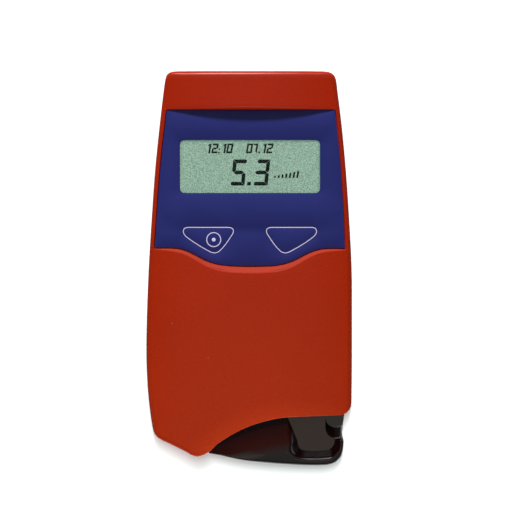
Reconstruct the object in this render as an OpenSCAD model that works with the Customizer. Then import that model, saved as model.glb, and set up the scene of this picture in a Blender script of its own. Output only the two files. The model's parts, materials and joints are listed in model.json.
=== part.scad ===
// Handheld blood glucose analyser: two-shell case, display panel with two keys,
// swinging cuvette arm under the lower edge, four AA cells behind a hinged cover.
// Origin: centre of the bounding box, on the plane of the feet. +X right, +Y to the
// top end, +Z out of the display.

/* [Case] */
// Wall thickness of both shells
wall = 2.2; // [1.8:0.1:2.4]
// Height of the crown above the table, at the lower edge of the front shell
case_h = 43; // [42.6:0.1:43.2]
// Radius of the crown across the width
crown_r = 185; // [175:5:200]
// Slope of the crown towards the top end, degrees
crown_tilt = 0.97; // [0.8:0.01:1.1]

/* [Display panel] */
// Thickness of the printed overlay
overlay_t = 0.5; // [0.3:0.1:0.6]
// Width of the display window
win_w = 56.4; // [54:0.2:57]
// Height of the display window
win_h = 21.3; // [20:0.1:22]
// Gap around each key
key_gap = 0.15; // [0.1:0.05:0.3]
// Travel of each key
key_travel = 0.5; // [0.3:0.1:0.6]

/* [Cuvette arm] */
// Radius of the pivot pin
pin_r = 2; // [1.5:0.1:2.2]
// Radial play of the arm on its pin
pin_play = 0.05; // [0.02:0.01:0.1]
// Swing of the arm from measuring to loading, degrees
arm_open = 32; // [26:1:32]
// Height of the arm above the table, where it shows
arm_top = 27; // [26:0.25:27]
// Radius of the measuring eye
eye_r = 2.5; // [2:0.1:3]

/* [Batteries] */
// Diameter of one AA cell
cell_d = 14.2; // [13.8:0.1:14.4]
// Length of one AA cell with its nub
cell_l = 50.5; // [50:0.1:51]

/* [Sockets, screws and feet] */
// Radius of the centre pin of the power socket
jack_pin_r = 1; // [0.8:0.05:1.2]
// Radius of the opening in the top end for the power plug
jack_open_r = 4.2; // [3.8:0.1:4.2]
// Radius of the thread of the case screws
screw_r = 1.25; // [1:0.05:1.4]
// Radius of one rubber foot
foot_r = 4; // [3:0.1:4]

/* [Hidden] */

cx = 0.5;                       // symmetry axis of the upper body
P = [-20.9, -69];               // pivot of the arm
C = [24, -51.5];                // measuring eye
SC = [18, -109.1];              // centre of the scooped lower edge
SR = 49.3;                      // radius of the scooped lower edge
split_z = 20;                   // parting plane of the two shells
floor_z = 1.2;                  // outer face of the rear shell
face_z = 37.4;                  // top of the overlay
slab_z = face_z - overlay_t;    // seat of the overlay
slot_lo = 9.7;                  // arm slot, lower face
slot_hi = 27.4;                 // arm slot, upper face
eye_top = 22.3;                 // arm slot at the pivot, upper face
board_z = 29.4;                 // underside of the main board
board_t = 1.6;

function arc(c, r, a0, a1, n) = [for (i = [0:n]) let (a = a0 + (a1 - a0) * i / n)
    [c[0] + r * cos(a), c[1] + r * sin(a)]];
function flip(pts) = [for (i = [len(pts) - 1:-1:0]) [-pts[i][0], pts[i][1]]];
function about(x0, pts) = [for (p = pts) [x0 + p[0], p[1]]];

// Outline of the case at the parting plane, anticlockwise
OUTLINE = concat(
    [[38.9, -59.8], [41.4, -57.2], [41.7, -56], [41.85, -50], [41.95, -40], [42, -20],
     [41.85, 0], [40.85, 20], [39.5, 40], [37.6, 60], [36.1, 72], [35.7, 75.5], [35.4, 77.2], [34.7, 78.5],
     [33.5, 79.5], [31.4, 80.05], [26, 80.25], [0.6, 80.3],
     [-25, 80.25], [-31, 80.05], [-32.7, 79.4], [-33.7, 78.4], [-34.2, 77.1],
     [-34.5, 75.3], [-34.95, 72], [-36.35, 60], [-38.4, 40], [-39.8, 20], [-41, 0],
     [-41.75, -20], [-42, -32], [-41.85, -40], [-41.3, -50], [-40.2, -60],
     [-39.6, -63.7], [-39.1, -66.2], [-38.6, -67.5], [-37.8, -68.7], [-36.2, -69.95]],
    arc(P, 7.2, -114, -80, 3));

// Half of the panel: distance from the axis and Y, up the side and along the top
PANEL_SIDE = [[38.5, 8.1], [38.1, 15.4], [37.2, 31.6], [35.9, 47.7], [34.2, 63.9]];
// Half of the panel's lower edge, from the side to the middle
PANEL_LOW = [[33, 8.2], [28.5, 7.9], [25, 6.8], [22, 5.5], [18, 3.55], [14, 1.9],
    [10, 0.9], [6, 0.45], [0, 0.3]];
PANEL_HALF = concat([for (i = [len(PANEL_SIDE) - 1:-1:0]) PANEL_SIDE[i]], PANEL_LOW);
function panel(top = 0, low = 0) = about(cx, concat(
    [for (i = [0:len(PANEL_HALF) - 1]) let (p = PANEL_HALF[i])
        [-p[0], p[1] + (i == 0 ? top : i > 3 ? -low : 0)]],
    [for (i = [len(PANEL_HALF) - 2:-1:0]) let (p = PANEL_HALF[i])
        [p[0], p[1] + (i == 0 ? top : i > 3 ? -low : 0)]]));

// Outline of a key, as distance from the axis and Y
KEY = [[25.2, 16.4], [26.2, 16.1], [26.8, 15.3], [26.8, 14.3], [26.1, 13.1], [24, 11.4],
    [20.2, 8.9], [17.2, 7.2], [15.6, 6.4], [14.2, 6.1], [13, 6.4], [12.1, 7], [10, 9.3],
    [7.7, 12.6], [6.8, 14.1], [6.6, 15.1], [7.1, 16], [8.2, 16.4]];
key_x = 0.35;
key_c = [14.4, 11.4];           // centre of the key's stem

WIN = [0.4, 40.95];             // centre of the display window

SCREWS = [[-29.5, 62], [30.5, 62], [-34, -40], [36, -33.5]];
BOARD_SCREWS = [[-20, 60.5], [21, 60.5], [-33, 12], [34, 12], [-30, -30], [8, -26]];
FEET = [[-25.5, 70], [26.5, 70], [-31, -57], [32, -49.5]];

bay = [[-28.5, -9], [28.5, 50]];        // battery bay, inside
cell_z = 11;
hinge_y = -7.6;
hinge_z = 2.2;

// The arm's outline where it shows, from the nose along the bottom to the right
ARM_EDGE = [[-16.5, -75.2], [-11.9, -75.9], [-7.8, -76.8], [-3.7, -77.7], [0.4, -78.4],
    [4.4, -78.8], [8.5, -79.2], [12.6, -79.5], [16.7, -79.8], [20.8, -80.1],
    [24.9, -80.3], [28.9, -80.3], [32.2, -80.05], [34.7, -79.25], [36.3, -78],
    [37.5, -76.4], [38.1, -74.3], [38.5, -70.3], [37.9, -67.6], [38.2, -65],
    [38.8, -60.4]];
ARM_HIDDEN = [[27.4, -43.5], [10.3, -43.5], [7, -57.6], [-2, -60.5], [-12, -62.3],
    [-20.9, -64]];
// Dish in the arm's top face: floor and rim
DISH_FLOOR = [[15.2, -57.5], [15.7, -60.9], [19.6, -74.2], [20.4, -74.9], [32.2, -74.8],
    [35.1, -71.9], [35.5, -69.4], [35.5, -57.5]];
DISH_RIM = [[15.2, -57.5], [15.9, -61.9], [16.6, -75.1], [17.8, -77.1], [19.4, -77.6],
    [32.8, -77.6], [36, -77], [37.3, -76], [37.4, -69.9], [37.4, -57.5]];
tail_a = 15.5 + arm_open;       // angle of the catch from the pivot, at rest

module at(p, z = 0) translate([p[0], p[1], z]) children();
module bar(r, z0, z1, n = 48) translate([0, 0, z0]) cylinder(h = z1 - z0, r = r, $fn = n);
module box(a, b) translate(a) cube([b[0] - a[0], b[1] - a[1], b[2] - a[2]]);
module prism(z0, z1) translate([0, 0, z0]) linear_extrude(z1 - z0) children();
module layer(z, inset) prism(z, z + 0.02) offset(delta = -inset) polygon(OUTLINE);

// Everything below the crown, which is a cylinder along the case
module under_crown(drop = 0)
    translate([cx, -63, case_h - crown_r - 0.02]) rotate([-crown_tilt, 0, 0])
        rotate([90, 0, 0]) cylinder(h = 360, r = crown_r - drop, center = true, $fn = 240);

module front_form(t = 0) intersection() {
    hull() {
        layer(split_z, t);
        layer(30, 0.45 + t);
        layer(38, 1.2 + t);
        layer(44, 1.2 + t);
    }
    under_crown(t * 1.1);
}

module rear_form(t = 0) hull() {
    layer(split_z - 0.02, t);
    layer(7 + t * 0.6, 0.3 + t);
    layer(3 + t * 0.9, 1.8 + t);
    layer(floor_z + t, 5 + t);
}

// The scooped lower edge with the nose left standing, grown inwards by t
module scoop(t = 0) difference() {
    union() {
        at(SC) circle(r = SR + t, $fn = 180);
        polygon([[18, -120], [18, -59.8 + t], [38, -59 + t], [60, -59 + t], [60, -120]]);
    }
    at(P) circle(r = 7.2, $fn = 64);
}

// Space that the arm sweeps
SLOT = concat([[-20.9, -63.5], [-12, -61.7], [-2, -59.9], [6.5, -57.2], [9.8, -43.1],
    [26.6, -43.1]], arc(P, 54.2, 29, tail_a + 3.2, 8), arc(P, 61.3, tail_a + 3.2, 5, 14),
    [[60, -63.7], [60, -95], [-20.9, -95]]);

module arm_slot() {
    prism(slot_lo, eye_top) union() {
        at(P) circle(r = 5.5, $fn = 64);
        polygon(SLOT);
    }
    prism(eye_top, slot_hi) difference() {
        polygon(SLOT);
        at(P) circle(r = 7.2, $fn = 64);
        at(P) polygon([[-9, -1], [8, -1], [8, 12], [-9, 12]]);
    }
    // groove for the catch, closed at the loading position
    prism(13.8, 18.2) polygon(concat(arc(P, 61, tail_a + 2.2, tail_a - arm_open - 1.6, 12),
        arc(P, 62.3, tail_a - arm_open - 1.6, tail_a + 2.2, 12)));
}

// Wall around the arm's chamber
module chamber(z0, z1) prism(z0, z1) difference() {
    union() {
        polygon([[-16, -66], [-16, -59.8], [-2, -58], [4.7, -55.5], [8.2, -41.5],
            [27, -41.5], [30, -43], [40.5, -43], [40.5, -57], [10, -62]]);
        polygon(concat(arc(P, 52.6, 27, tail_a + 5, 8), arc(P, 63.3, tail_a + 5, 12, 12)));
    }
    polygon(SLOT);
    scoop(0);
}

module front_housing() color([0.72, 0.16, 0.09]) difference() {
    union() {
        difference() {
            front_form();
            difference() {
                front_form(wall - 0.2);
                prism(35, 50) offset(delta = 2) polygon(panel());
                prism(slot_hi, 50) scoop(wall - 0.2);
            }
        }
        intersection() {
            front_form(0.6);
            union() {
                for (s = SCREWS) at(s) bar(3.3, split_z, 44);
                for (s = BOARD_SCREWS) at(s) bar(2.4, board_z + board_t, 44);
                at(P) bar(6.2, eye_top, 44);
                chamber(split_z, 29.2);
            }
        }
    }
    prism(19, 50) scoop();
    arm_slot();
    // seat of the overlay and the sloped sides above it
    prism(slab_z, face_z) polygon(panel());
    panel_flare();
    // display window, wider at the seat of the lens
    translate([WIN[0], WIN[1], 30]) linear_extrude(9) square([win_w + 1.6, win_h + 1.6], center = true);
    translate([WIN[0], WIN[1], slab_z - 0.6]) linear_extrude(2) square([win_w + 3.6, win_h + 3.6], center = true);
    // key recesses and stem holes
    for (m = [0, 1]) translate([key_x, 0, 0]) mirror([m, 0, 0]) {
        prism(35.7, 40) offset(delta = key_gap) polygon(flip(KEY));
        at([-key_c[0], key_c[1]]) bar(2.3, 30, 38);
    }
    for (s = SCREWS) at(s) bar(screw_r, 19, 31);
    for (s = BOARD_SCREWS) at(s) bar(1, 30, 34.6);
    at(P) bar(pin_r, 20, 27, 64);
    // opening for the power plug
    translate([20, 70, 25]) rotate([-90, 0, 0]) cylinder(h = 20, r = jack_open_r, $fn = 64);
}

// The opening of the panel widens upwards: steeply at the keys, slightly at the brow
module panel_flare() {
    lo = panel();
    hi = panel(0.23 * (46 - face_z), 0.5 * (46 - face_z));
    n = len(lo);
    polyhedron(
        points = concat([for (p = lo) [p[0], p[1], face_z - 0.01]], [for (p = hi) [p[0], p[1], 46]]),
        faces = concat([[for (i = [0:n - 1]) i]], [[for (i = [n - 1:-1:0]) n + i]],
            [for (i = [0:n - 1]) [i, n + i, (i + 1) % n]],
            [for (i = [0:n - 1]) [(i + 1) % n, n + i, n + (i + 1) % n]]));
}

module rear_housing() color([0.7, 0.15, 0.09]) difference() {
    union() {
        difference() {
            rear_form();
            difference() {
                rear_form(wall);
                prism(0, 30) scoop(wall);
            }
        }
        intersection() {
            rear_form(0.5);
            union() {
                for (s = SCREWS) at(s) bar(3.3, floor_z, split_z);
                for (s = FEET) at(s) bar(foot_r + 1.2, floor_z, 4.2);
                at(P) bar(6.2, floor_z, slot_lo);
                chamber(floor_z + 1, split_z);
                // battery box
                box([bay[0][0] - 1.5, bay[0][1] - 1.5, floor_z], [bay[1][0] + 1.5, bay[1][1] + 1.5, split_z]);
                // posts under the sensor board
                at([14, -55]) bar(1.8, floor_z, 4.6);
                at([13, -47.5]) bar(1.8, floor_z, 4.6);
                // parting-plane ribs
                for (x = [-20, 0, 20]) box([x - 0.7, 51, floor_z], [x + 0.7, 79, 8]);
            }
        }
    }
    prism(-1, 30) scoop();
    arm_slot();
    box([bay[0][0], bay[0][1], 0], [bay[1][0], bay[1][1], 18.6]);
    // finger dent beside the cover's latch
    translate([cx - 0.5, 58.5, -3.4]) sphere(r = 6.5, $fn = 48);
    // way for the sensor board
    box([-1, -57.2, 3.4], [36, -45.8, 8.6]);
    for (s = SCREWS) at(s) { bar(screw_r + 0.3, 0, 21); bar(2.8, 0, 5.2); }
    for (s = FEET) at(s) bar(foot_r, 0, 3);
    at(P) bar(pin_r, 5, 21, 64);
    // blind holes for the cover's hinge
    translate([-29.6, hinge_y, hinge_z]) rotate([0, 90, 0]) cylinder(h = 59.2, r = 0.85, $fn = 40);
}

module rubber_feet() color([0.1, 0.1, 0.1])
    for (s = FEET) at(s) { bar(foot_r - 0.6, 0, 0.6); bar(foot_r, 0.6, 3); }

module panel_overlay() color([0.16, 0.18, 0.45]) difference() {
    prism(slab_z, face_z) offset(delta = -0.1) polygon(panel());
    translate([WIN[0], WIN[1], 30]) linear_extrude(9) square([win_w, win_h], center = true);
    for (m = [0, 1]) translate([key_x, 0, 0]) mirror([m, 0, 0])
        prism(30, 40) offset(delta = key_gap) polygon(flip(KEY));
}

module display_lens() color([0.8, 0.9, 0.85, 0.4]) translate([WIN[0], WIN[1], 0]) {
    prism(slab_z - 0.6, slab_z) square([win_w + 3.2, win_h + 3.2], center = true);
    prism(slab_z, face_z - 0.1) square([win_w - 0.2, win_h - 0.2], center = true);
}

module lcd_glass() color([0.56, 0.72, 0.64]) {
    box([-29.6, 27.4, 33.4], [30.4, 54.5, 34.6]);
    box([-28, 29.9, 34.6], [28.8, 52, slab_z - 0.7]);
}

module lcd_frame() color([0.85, 0.85, 0.82]) difference() {
    box([-32, 25, board_z + board_t], [32.8, 56.6, 34.9]);
    box([-29.8, 27.2, 33.3], [30.6, 54.7, 40]);
    box([-29, 27.7, 30], [29.8, 54.2, 40]);
}

module zebra_connectors() color([0.9, 0.55, 0.6])
    for (y = [28, 52]) box([-28, y, board_z + board_t], [28.8, y + 2, 33.4]);

module key_cap() {
    difference() {
        prism(36.4, face_z) polygon(flip(KEY));
        prism(36.3, 36.8) offset(delta = -1.4) polygon(flip(KEY));
    }
    at([-key_c[0], key_c[1]]) bar(2, 35.1, 37);
}
module power_key() color([0.17, 0.19, 0.47]) translate([key_x, 0, 0]) key_cap();
module menu_key() color([0.17, 0.19, 0.47]) translate([key_x, 0, 0]) mirror([1, 0, 0]) key_cap();

module plunger() at([-key_c[0], key_c[1]]) { bar(1.6, 32.6, 35.1); bar(2, 32.6, 33.1); }
module power_plunger() color([0.12, 0.12, 0.12]) translate([key_x, 0, 0]) plunger();
module menu_plunger() color([0.12, 0.12, 0.12]) translate([key_x, 0, 0]) mirror([1, 0, 0]) plunger();

module key_switches() color([0.75, 0.76, 0.78]) for (m = [0, 1]) translate([key_x, 0, 0]) mirror([m, 0, 0])
    at([-key_c[0], key_c[1]]) difference() {
        box([-3, -3, board_z + board_t], [3, 3, 34]);
        bar(1.7, 31.9, 35);
        bar(2.15, 31.9, 33.3);
    }

module main_board() color([0.1, 0.4, 0.22]) difference() {
    prism(board_z, board_z + board_t) polygon([[-32, 63.5], [-34.5, 40], [-36.5, 0], [-38.3, -20],
        [-38.3, -36], [-30, -41], [-2, -41], [0, -56.5], [35.5, -56.5], [38.6, -30], [38, 0],
        [35.8, 40], [33.2, 63.5]]);
    for (s = SCREWS) at(s) bar(3.8, 29, 32);
    for (s = BOARD_SCREWS) at(s) bar(1.2, 29, 32);
    at(C) bar(1.2, 29, 32);
}

module processor_chips() color([0.1, 0.1, 0.11]) {
    box([-6, -14, board_z + board_t], [6, -2, 32.6]);
    box([14, -12, board_z + board_t], [21, -7, 32.4]);
    box([-24, -14, board_z + board_t], [-16, -8, 32.2]);
    box([16, -30, board_z + board_t], [22, -25, 32.3]);
}

module buzzer() color([0.15, 0.15, 0.16]) at([-14, -28]) difference() {
    bar(6, board_z + board_t, 35);
    bar(1, 34, 36);
}

module backup_cell_holder() color([0.9, 0.9, 0.86]) at([-17, -26]) difference() {
    bar(8, 25.2, board_z);
    bar(6.3, 25, 28.4);
    box([-2, -9, 25], [2, -5, 28.4]);
}
module backup_cell() color([0.8, 0.8, 0.82]) at([-17, -26]) { bar(6.25, 26.2, 28.4); bar(5.2, 25.7, 26.2); }

module power_socket() color([0.08, 0.08, 0.08]) {
    difference() {
        box([15.5, 66, 20.6], [24.5, 77.6, board_z]);
        translate([20, 68.5, 25]) rotate([-90, 0, 0]) cylinder(h = 12, r = 2.9, $fn = 48);
    }
    translate([20, 67, 25]) rotate([-90, 0, 0]) cylinder(h = 10.3, r = jack_pin_r, $fn = 48);
}

module emitter_block() color([0.08, 0.08, 0.09]) difference() {
    box([C[0] - 7, C[1] - 5.3, 22.6], [C[0] + 7, C[1] + 5.3, board_z]);
    at(C) bar(1.6, 22, 27.2);
    at(C) box([-3.6, -2.1, 26.4], [3.6, 2.1, 30]);
}
module emitter_leds() color([0.85, 0.75, 0.35]) for (x = [-1.9, 1.9]) at([C[0] + x, C[1]]) {
    bar(1.2, 27.3, 28.2, 32);
    box([-1.6, -1.6, 28.2], [1.6, 1.6, board_z]);
}

module sensor_board() color([0.1, 0.42, 0.24]) difference() {
    box([1, -57, 4.6], [35, -46, 5.8]);
    at([14, -55]) bar(0.9, 4, 7);
    at([13, -47.5]) bar(0.9, 4, 7);
}
module detector_block() color([0.08, 0.08, 0.09]) difference() {
    box([C[0] - 6, C[1] - 4.6, 5.8], [C[0] + 6, C[1] + 4.6, 9.3]);
    at(C) bar(1.6, 5, 10);
    at(C) bar(3, 8.5, 10);
    at(C) box([-2.2, -2.2, 5], [2.2, 2.2, 7.4]);
}
module photodiode() color([0.2, 0.2, 0.24]) at(C) box([-2, -2, 5.8], [2, 2, 7.2]);
module optics_window() color([0.7, 0.85, 0.9, 0.5]) at(C) bar(2.95, 8.5, 9.3);

module ribbon_connectors() color([0.92, 0.9, 0.84]) {
    box([1.4, -54.4, 5.8], [4.4, -46.6, 7.6]);
    box([1.4, -54.4, 27.6], [4.4, -46.6, board_z]);
}
module sensor_ribbon() color([0.93, 0.93, 0.9]) translate([0, -47.2, 0]) rotate([90, 0, 0])
    linear_extrude(6.6) polygon([[2.6, 7.6], [2.6, 12], [0.8, 14], [0.8, 22], [2.6, 24], [2.6, 27.6],
        [2.9, 27.6], [2.9, 23.9], [1.1, 21.9], [1.1, 14.1], [2.9, 12.1], [2.9, 7.6]]);

module arm_switch() color([0.12, 0.12, 0.13]) {
    box([12, -40.6, 23.6], [20, -37, board_z]);
    box([14, -39.4, 22.6], [15.5, -38.2, 23.6]);
}

module pivot_pin() color([0.78, 0.79, 0.8]) at(P) bar(pin_r, 5.2, 26.8, 64);
module arm_bush() color([0.8, 0.65, 0.35]) at(P) difference() {
    bar(3.2, 10, 22, 64);
    bar(pin_r + pin_play, 9, 23, 64);
}

module arm_plan() {
    polygon(concat([P], ARM_EDGE, arc(P, 60.6, 9, tail_a + 2.4, 12),
        arc(P, 54.6, tail_a + 2.4, 28, 8), ARM_HIDDEN));
    at(P) circle(r = 5.2, $fn = 64);
}
module arm_show(inset = 0) difference() {
    offset(delta = -inset) polygon(concat([[-14, -72.5]], ARM_EDGE, [[38.8, -59.6], [37.8, -58.8], [18, -58.8],
        [10, -59.5], [0, -62.3], [-8, -66.6]]));
    at(P) circle(r = 7.7 + inset, $fn = 64);
}
module arm_body() color([0.07, 0.07, 0.08]) difference() {
    union() {
        difference() {
            prism(10, 22) arm_plan();
            // the tail is thinner than the arm
            for (z = [[5, 12], [20, 30]]) prism(z[0], z[1]) polygon(concat(
                arc(P, 53, 28.5, 75, 8), arc(P, 64, 75, 28.5, 8)));
        }
        prism(10, arm_top) arm_show();
    }
    // hollow, closed by the base plate
    difference() {
        prism(9, 20.2) arm_show(1.8);
        box([29.6, -70.6, 17.6], [45, -56, 21]);
    }
    // top face, falling from the outer edge towards the case
    translate([-5.75, -76.7, arm_top]) rotate([0, 0, 5.7]) rotate([-17, 0, 0])
        box([-16, 0, 0], [22, 30, 20]);
    // dish with sloped sides, and its low right rim
    hull() {
        prism(22, 22.02) polygon(DISH_FLOOR);
        prism(arm_top, arm_top + 1) polygon(DISH_RIM);
    }
    box([34, -68, 22], [45, -57, 30]);
    // finger channel from the dish to the cuvette seat
    at([34.7, -65.8]) bar(3.3, 19.4, 30);
    box([31.4, -65.8, 19.4], [45, -57, 30]);
    // cuvette seat, open to the right
    box([11.8, -57.6, 19.4], [45, -45.4, 30]);
    difference() {
        box([12.5, -56.8, 9], [34.5, -45.4, 17.8]);
        at(C) bar(4.4, 8, 20);
    }
    at(C) bar(eye_r, 5, 25);
    at(P) bar(3.2, 5, 25, 64);
    // notch for the catch
    at(P) rotate(tail_a) box([56.2, -1.6, 13.9], [62, 1.6, 18.1]);
}
module arm_base_plate() color([0.09, 0.09, 0.1]) prism(10, 11.6) arm_show(1.85);

module release_catch() color([0.13, 0.13, 0.14]) at(P) rotate(tail_a) {
    box([57.5, -1.5, 14], [60.6, 1.5, 18]);
    box([60.6, -1.5, 14.8], [61.9, 1.5, 17.2]);
}

module cell_row() for (i = [0:3]) let (s = i % 2 == 0 ? 1 : -1, y = 20.5 + (i - 1.5) * 14.6)
    translate([0, y, cell_z]) scale([1, 1, 1]) mirror([s > 0 ? 0 : 1, 0, 0]) children();

// Plus end towards +X; the spring fills the rest of the bay
cell_x = bay[1][0] - 0.45 - cell_l;
module battery_cells() color([0.75, 0.7, 0.3]) cell_row() translate([cell_x, 0, 0]) rotate([0, 90, 0]) {
    cylinder(h = cell_l - 1.1, r = cell_d / 2, $fn = 72);
    translate([0, 0, cell_l - 1.1]) cylinder(h = 1.1, r = 2.7, $fn = 40);
}

// Wire swept along a conical coil
function coil(t) = let (a = 360 * t, r = 4.4 - 0.55 * t) [r * cos(a), r * sin(a), 0.45 + 1.15 * t];
function ring(t, n) = let (a = 360 * t, c = coil(t)) [for (k = [0:n - 1]) let (b = 360 * k / n)
    c + 0.35 * (cos(b) * [cos(a), sin(a), 0] + sin(b) * [0, 0, 1])];
module battery_springs() color([0.82, 0.82, 0.84]) cell_row()
    translate([bay[0][0] + 0.5, 0, 0]) rotate([0, 90, 0]) {
        m = 40; n = 6; turns = 4;
        polyhedron(
            points = [for (i = [0:m]) each ring(turns * i / m, n)],
            faces = concat([[for (k = [n - 1:-1:0]) k]], [[for (k = [0:n - 1]) m * n + k]],
                [for (i = [0:m - 1], k = [0:n - 1]) [i * n + k, i * n + (k + 1) % n, (i + 1) * n + k]],
                [for (i = [0:m - 1], k = [0:n - 1]) [i * n + (k + 1) % n, (i + 1) * n + (k + 1) % n, (i + 1) * n + k]]));
    }

module battery_contacts() color([0.8, 0.8, 0.8]) {
    for (y = [[-6, 18], [22.8, 47]]) box([bay[0][0], y[0], 5], [bay[0][0] + 0.4, y[1], 17]);
    for (y = [[-6, 3.4], [7.6, 33.4], [37.6, 47]]) box([bay[1][0] - 0.4, y[0], 5], [bay[1][0], y[1], 17]);
}

module battery_cover() color([0.7, 0.15, 0.09]) difference() {
    union() {
        box([-28.3, hinge_y, floor_z], [28.3, 49.8, 3.2]);
        translate([-28.3, hinge_y, hinge_z]) rotate([0, 90, 0]) cylinder(h = 56.6, r = 1, $fn = 40);
        translate([-29.4, hinge_y, hinge_z]) rotate([0, 90, 0]) cylinder(h = 58.8, r = 0.78, $fn = 40);
        // latch tongue and ribs
        box([-5, 48.2, 3.2], [5, 49.4, 3.75]);
    }
    // grip dent
    translate([cx - 0.5, 45, -1.6]) sphere(r = 4.2, $fn = 48);
}

module case_screws() color([0.6, 0.6, 0.62]) for (s = SCREWS) at(s) difference() {
    union() { bar(2.5, 3.3, 5.2); bar(screw_r, 5.2, 27); }
    bar(1.1, 3, 4.4, 6);
}
module board_screws() color([0.7, 0.7, 0.72]) for (s = BOARD_SCREWS) at(s) difference() {
    union() { bar(2, 28.1, board_z); bar(1, board_z, 34.2); }
    bar(0.8, 27, 28.9, 6);
}

front_housing();
rear_housing();
panel_overlay();
display_lens();
lcd_glass();
lcd_frame();
zebra_connectors();
power_key();
menu_key();
power_plunger();
menu_plunger();
key_switches();
main_board();
processor_chips();
buzzer();
backup_cell();
backup_cell_holder();
power_socket();
emitter_block();
emitter_leds();
sensor_board();
detector_block();
photodiode();
optics_window();
sensor_ribbon();
ribbon_connectors();
arm_switch();
pivot_pin();
arm_bush();
arm_body();
arm_base_plate();
release_catch();
battery_cells();
battery_springs();
battery_contacts();
battery_cover();
case_screws();
board_screws();
rubber_feet();
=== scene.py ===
import json
import math

import bmesh
import bpy
import numpy as np
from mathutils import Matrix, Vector
from mathutils.geometry import delaunay_2d_cdt


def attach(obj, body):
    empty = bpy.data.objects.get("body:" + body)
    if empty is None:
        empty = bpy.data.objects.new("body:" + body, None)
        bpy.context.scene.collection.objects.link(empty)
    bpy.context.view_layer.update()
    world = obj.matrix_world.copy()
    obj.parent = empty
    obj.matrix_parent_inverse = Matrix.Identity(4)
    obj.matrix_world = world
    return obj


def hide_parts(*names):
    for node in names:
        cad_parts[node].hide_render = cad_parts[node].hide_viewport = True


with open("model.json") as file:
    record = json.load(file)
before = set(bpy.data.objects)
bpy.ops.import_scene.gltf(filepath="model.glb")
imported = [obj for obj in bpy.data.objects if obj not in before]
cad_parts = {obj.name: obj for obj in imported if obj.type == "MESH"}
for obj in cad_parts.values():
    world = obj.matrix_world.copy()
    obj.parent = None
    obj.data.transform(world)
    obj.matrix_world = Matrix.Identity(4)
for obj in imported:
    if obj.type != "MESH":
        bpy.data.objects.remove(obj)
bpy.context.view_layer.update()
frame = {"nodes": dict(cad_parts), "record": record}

NODES = frame["nodes"]
scene = bpy.context.scene
scene.view_settings.view_transform = "Standard"
scene.view_settings.look = "None"
MM = 0.001

# ---------------------------------------------------------------- construction, in millimetres
CX = 0.5
P = np.array([-20.9, -69.0])
C = np.array([24.0, -51.5])
SC, SR = np.array([18.0, -109.1]), 49.3
SLAB_Z, FACE_Z, SPLIT_Z, FLOOR_Z = 36.9, 37.4, 20.0, 1.2
ARM_OPEN = 32.0
TAIL_A = 15.5 + ARM_OPEN
WIN = (0.4, 40.95, 56.4, 21.3)
KEY_X, KEY_C = 0.35, (14.4, 11.4)
KEY = [(25.2, 16.38), (26.2, 16.1), (26.8, 15.3), (26.8, 14.3), (26.1, 13.1), (24, 11.4),
       (20.2, 8.9), (17.2, 7.2), (15.6, 6.4), (14.2, 6.1), (13, 6.4), (12.1, 7), (10, 9.3),
       (7.7, 12.6), (6.8, 14.1), (6.6, 15.1), (7.1, 16), (8.2, 16.38), (9.2, 16.42), (12, 16.42), (16.5, 16.42), (21, 16.42), (24.2, 16.42)]
SCREWS = [(-29.5, 62), (30.5, 62), (-34, -40), (36, -33.5)]
FEET = [(-25.5, 70), (26.5, 70), (-31, -57), (32, -49.5)]


def arc(c, r, a0, a1, n):
    return [(c[0] + r * math.cos(math.radians(a0 + (a1 - a0) * i / n)),
             c[1] + r * math.sin(math.radians(a0 + (a1 - a0) * i / n))) for i in range(n + 1)]


def catmull(pts, step=0.25, closed=False):
    """Centripetal spline through the points, as a dense line."""
    q = np.array(pts, float)
    if closed:
        q = np.vstack([q[-1], q, q[0], q[1]])
    else:
        q = np.vstack([2 * q[0] - q[1], q, 2 * q[-1] - q[-2]])
    out = []
    for i in range(1, len(q) - 2):
        p0, p1, p2, p3 = q[i - 1], q[i], q[i + 1], q[i + 2]
        t0 = 0.0
        t1 = t0 + max(np.linalg.norm(p1 - p0), 1e-6) ** 0.5
        t2 = t1 + max(np.linalg.norm(p2 - p1), 1e-6) ** 0.5
        t3 = t2 + max(np.linalg.norm(p3 - p2), 1e-6) ** 0.5
        n = max(1, int(math.ceil(np.linalg.norm(p2 - p1) / step)))
        for k in range(n):
            t = t1 + (t2 - t1) * k / n
            a1 = (t1 - t) / (t1 - t0) * p0 + (t - t0) / (t1 - t0) * p1
            a2 = (t2 - t) / (t2 - t1) * p1 + (t - t1) / (t2 - t1) * p2
            a3 = (t3 - t) / (t3 - t2) * p2 + (t - t2) / (t3 - t2) * p3
            b1 = (t2 - t) / (t2 - t0) * a1 + (t - t0) / (t2 - t0) * a2
            b2 = (t3 - t) / (t3 - t1) * a2 + (t - t1) / (t3 - t1) * a3
            out.append((t2 - t) / (t2 - t1) * b1 + (t - t1) / (t2 - t1) * b2)
    if not closed:
        out.append(q[-2])
    return np.array(out)


def lengths(line, closed=False):
    q = np.vstack([line, line[:1]]) if closed else line
    return np.concatenate([[0], np.cumsum(np.linalg.norm(np.diff(q, axis=0), axis=1))])


def at_len(line, s, closed=False):
    q = np.vstack([line, line[:1]]) if closed else line
    c = lengths(line, closed)
    return np.stack([np.interp(s, c, q[:, k]) for k in range(q.shape[1])], 1)


def resample(line, step, closed=False):
    total = lengths(line, closed)[-1]
    n = max(3, int(round(total / step)))
    s = np.arange(n) * total / n if closed else np.linspace(0, total, n + 1)
    return at_len(line, s, closed)


def left_normals(line, closed=True):
    if closed:
        t = np.roll(line, -1, 0) - np.roll(line, 1, 0)
    else:
        t = np.gradient(line, axis=0)
    t /= np.maximum(np.linalg.norm(t, axis=1), 1e-12)[:, None]
    return np.stack([-t[:, 1], t[:, 0]], 1)


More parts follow.
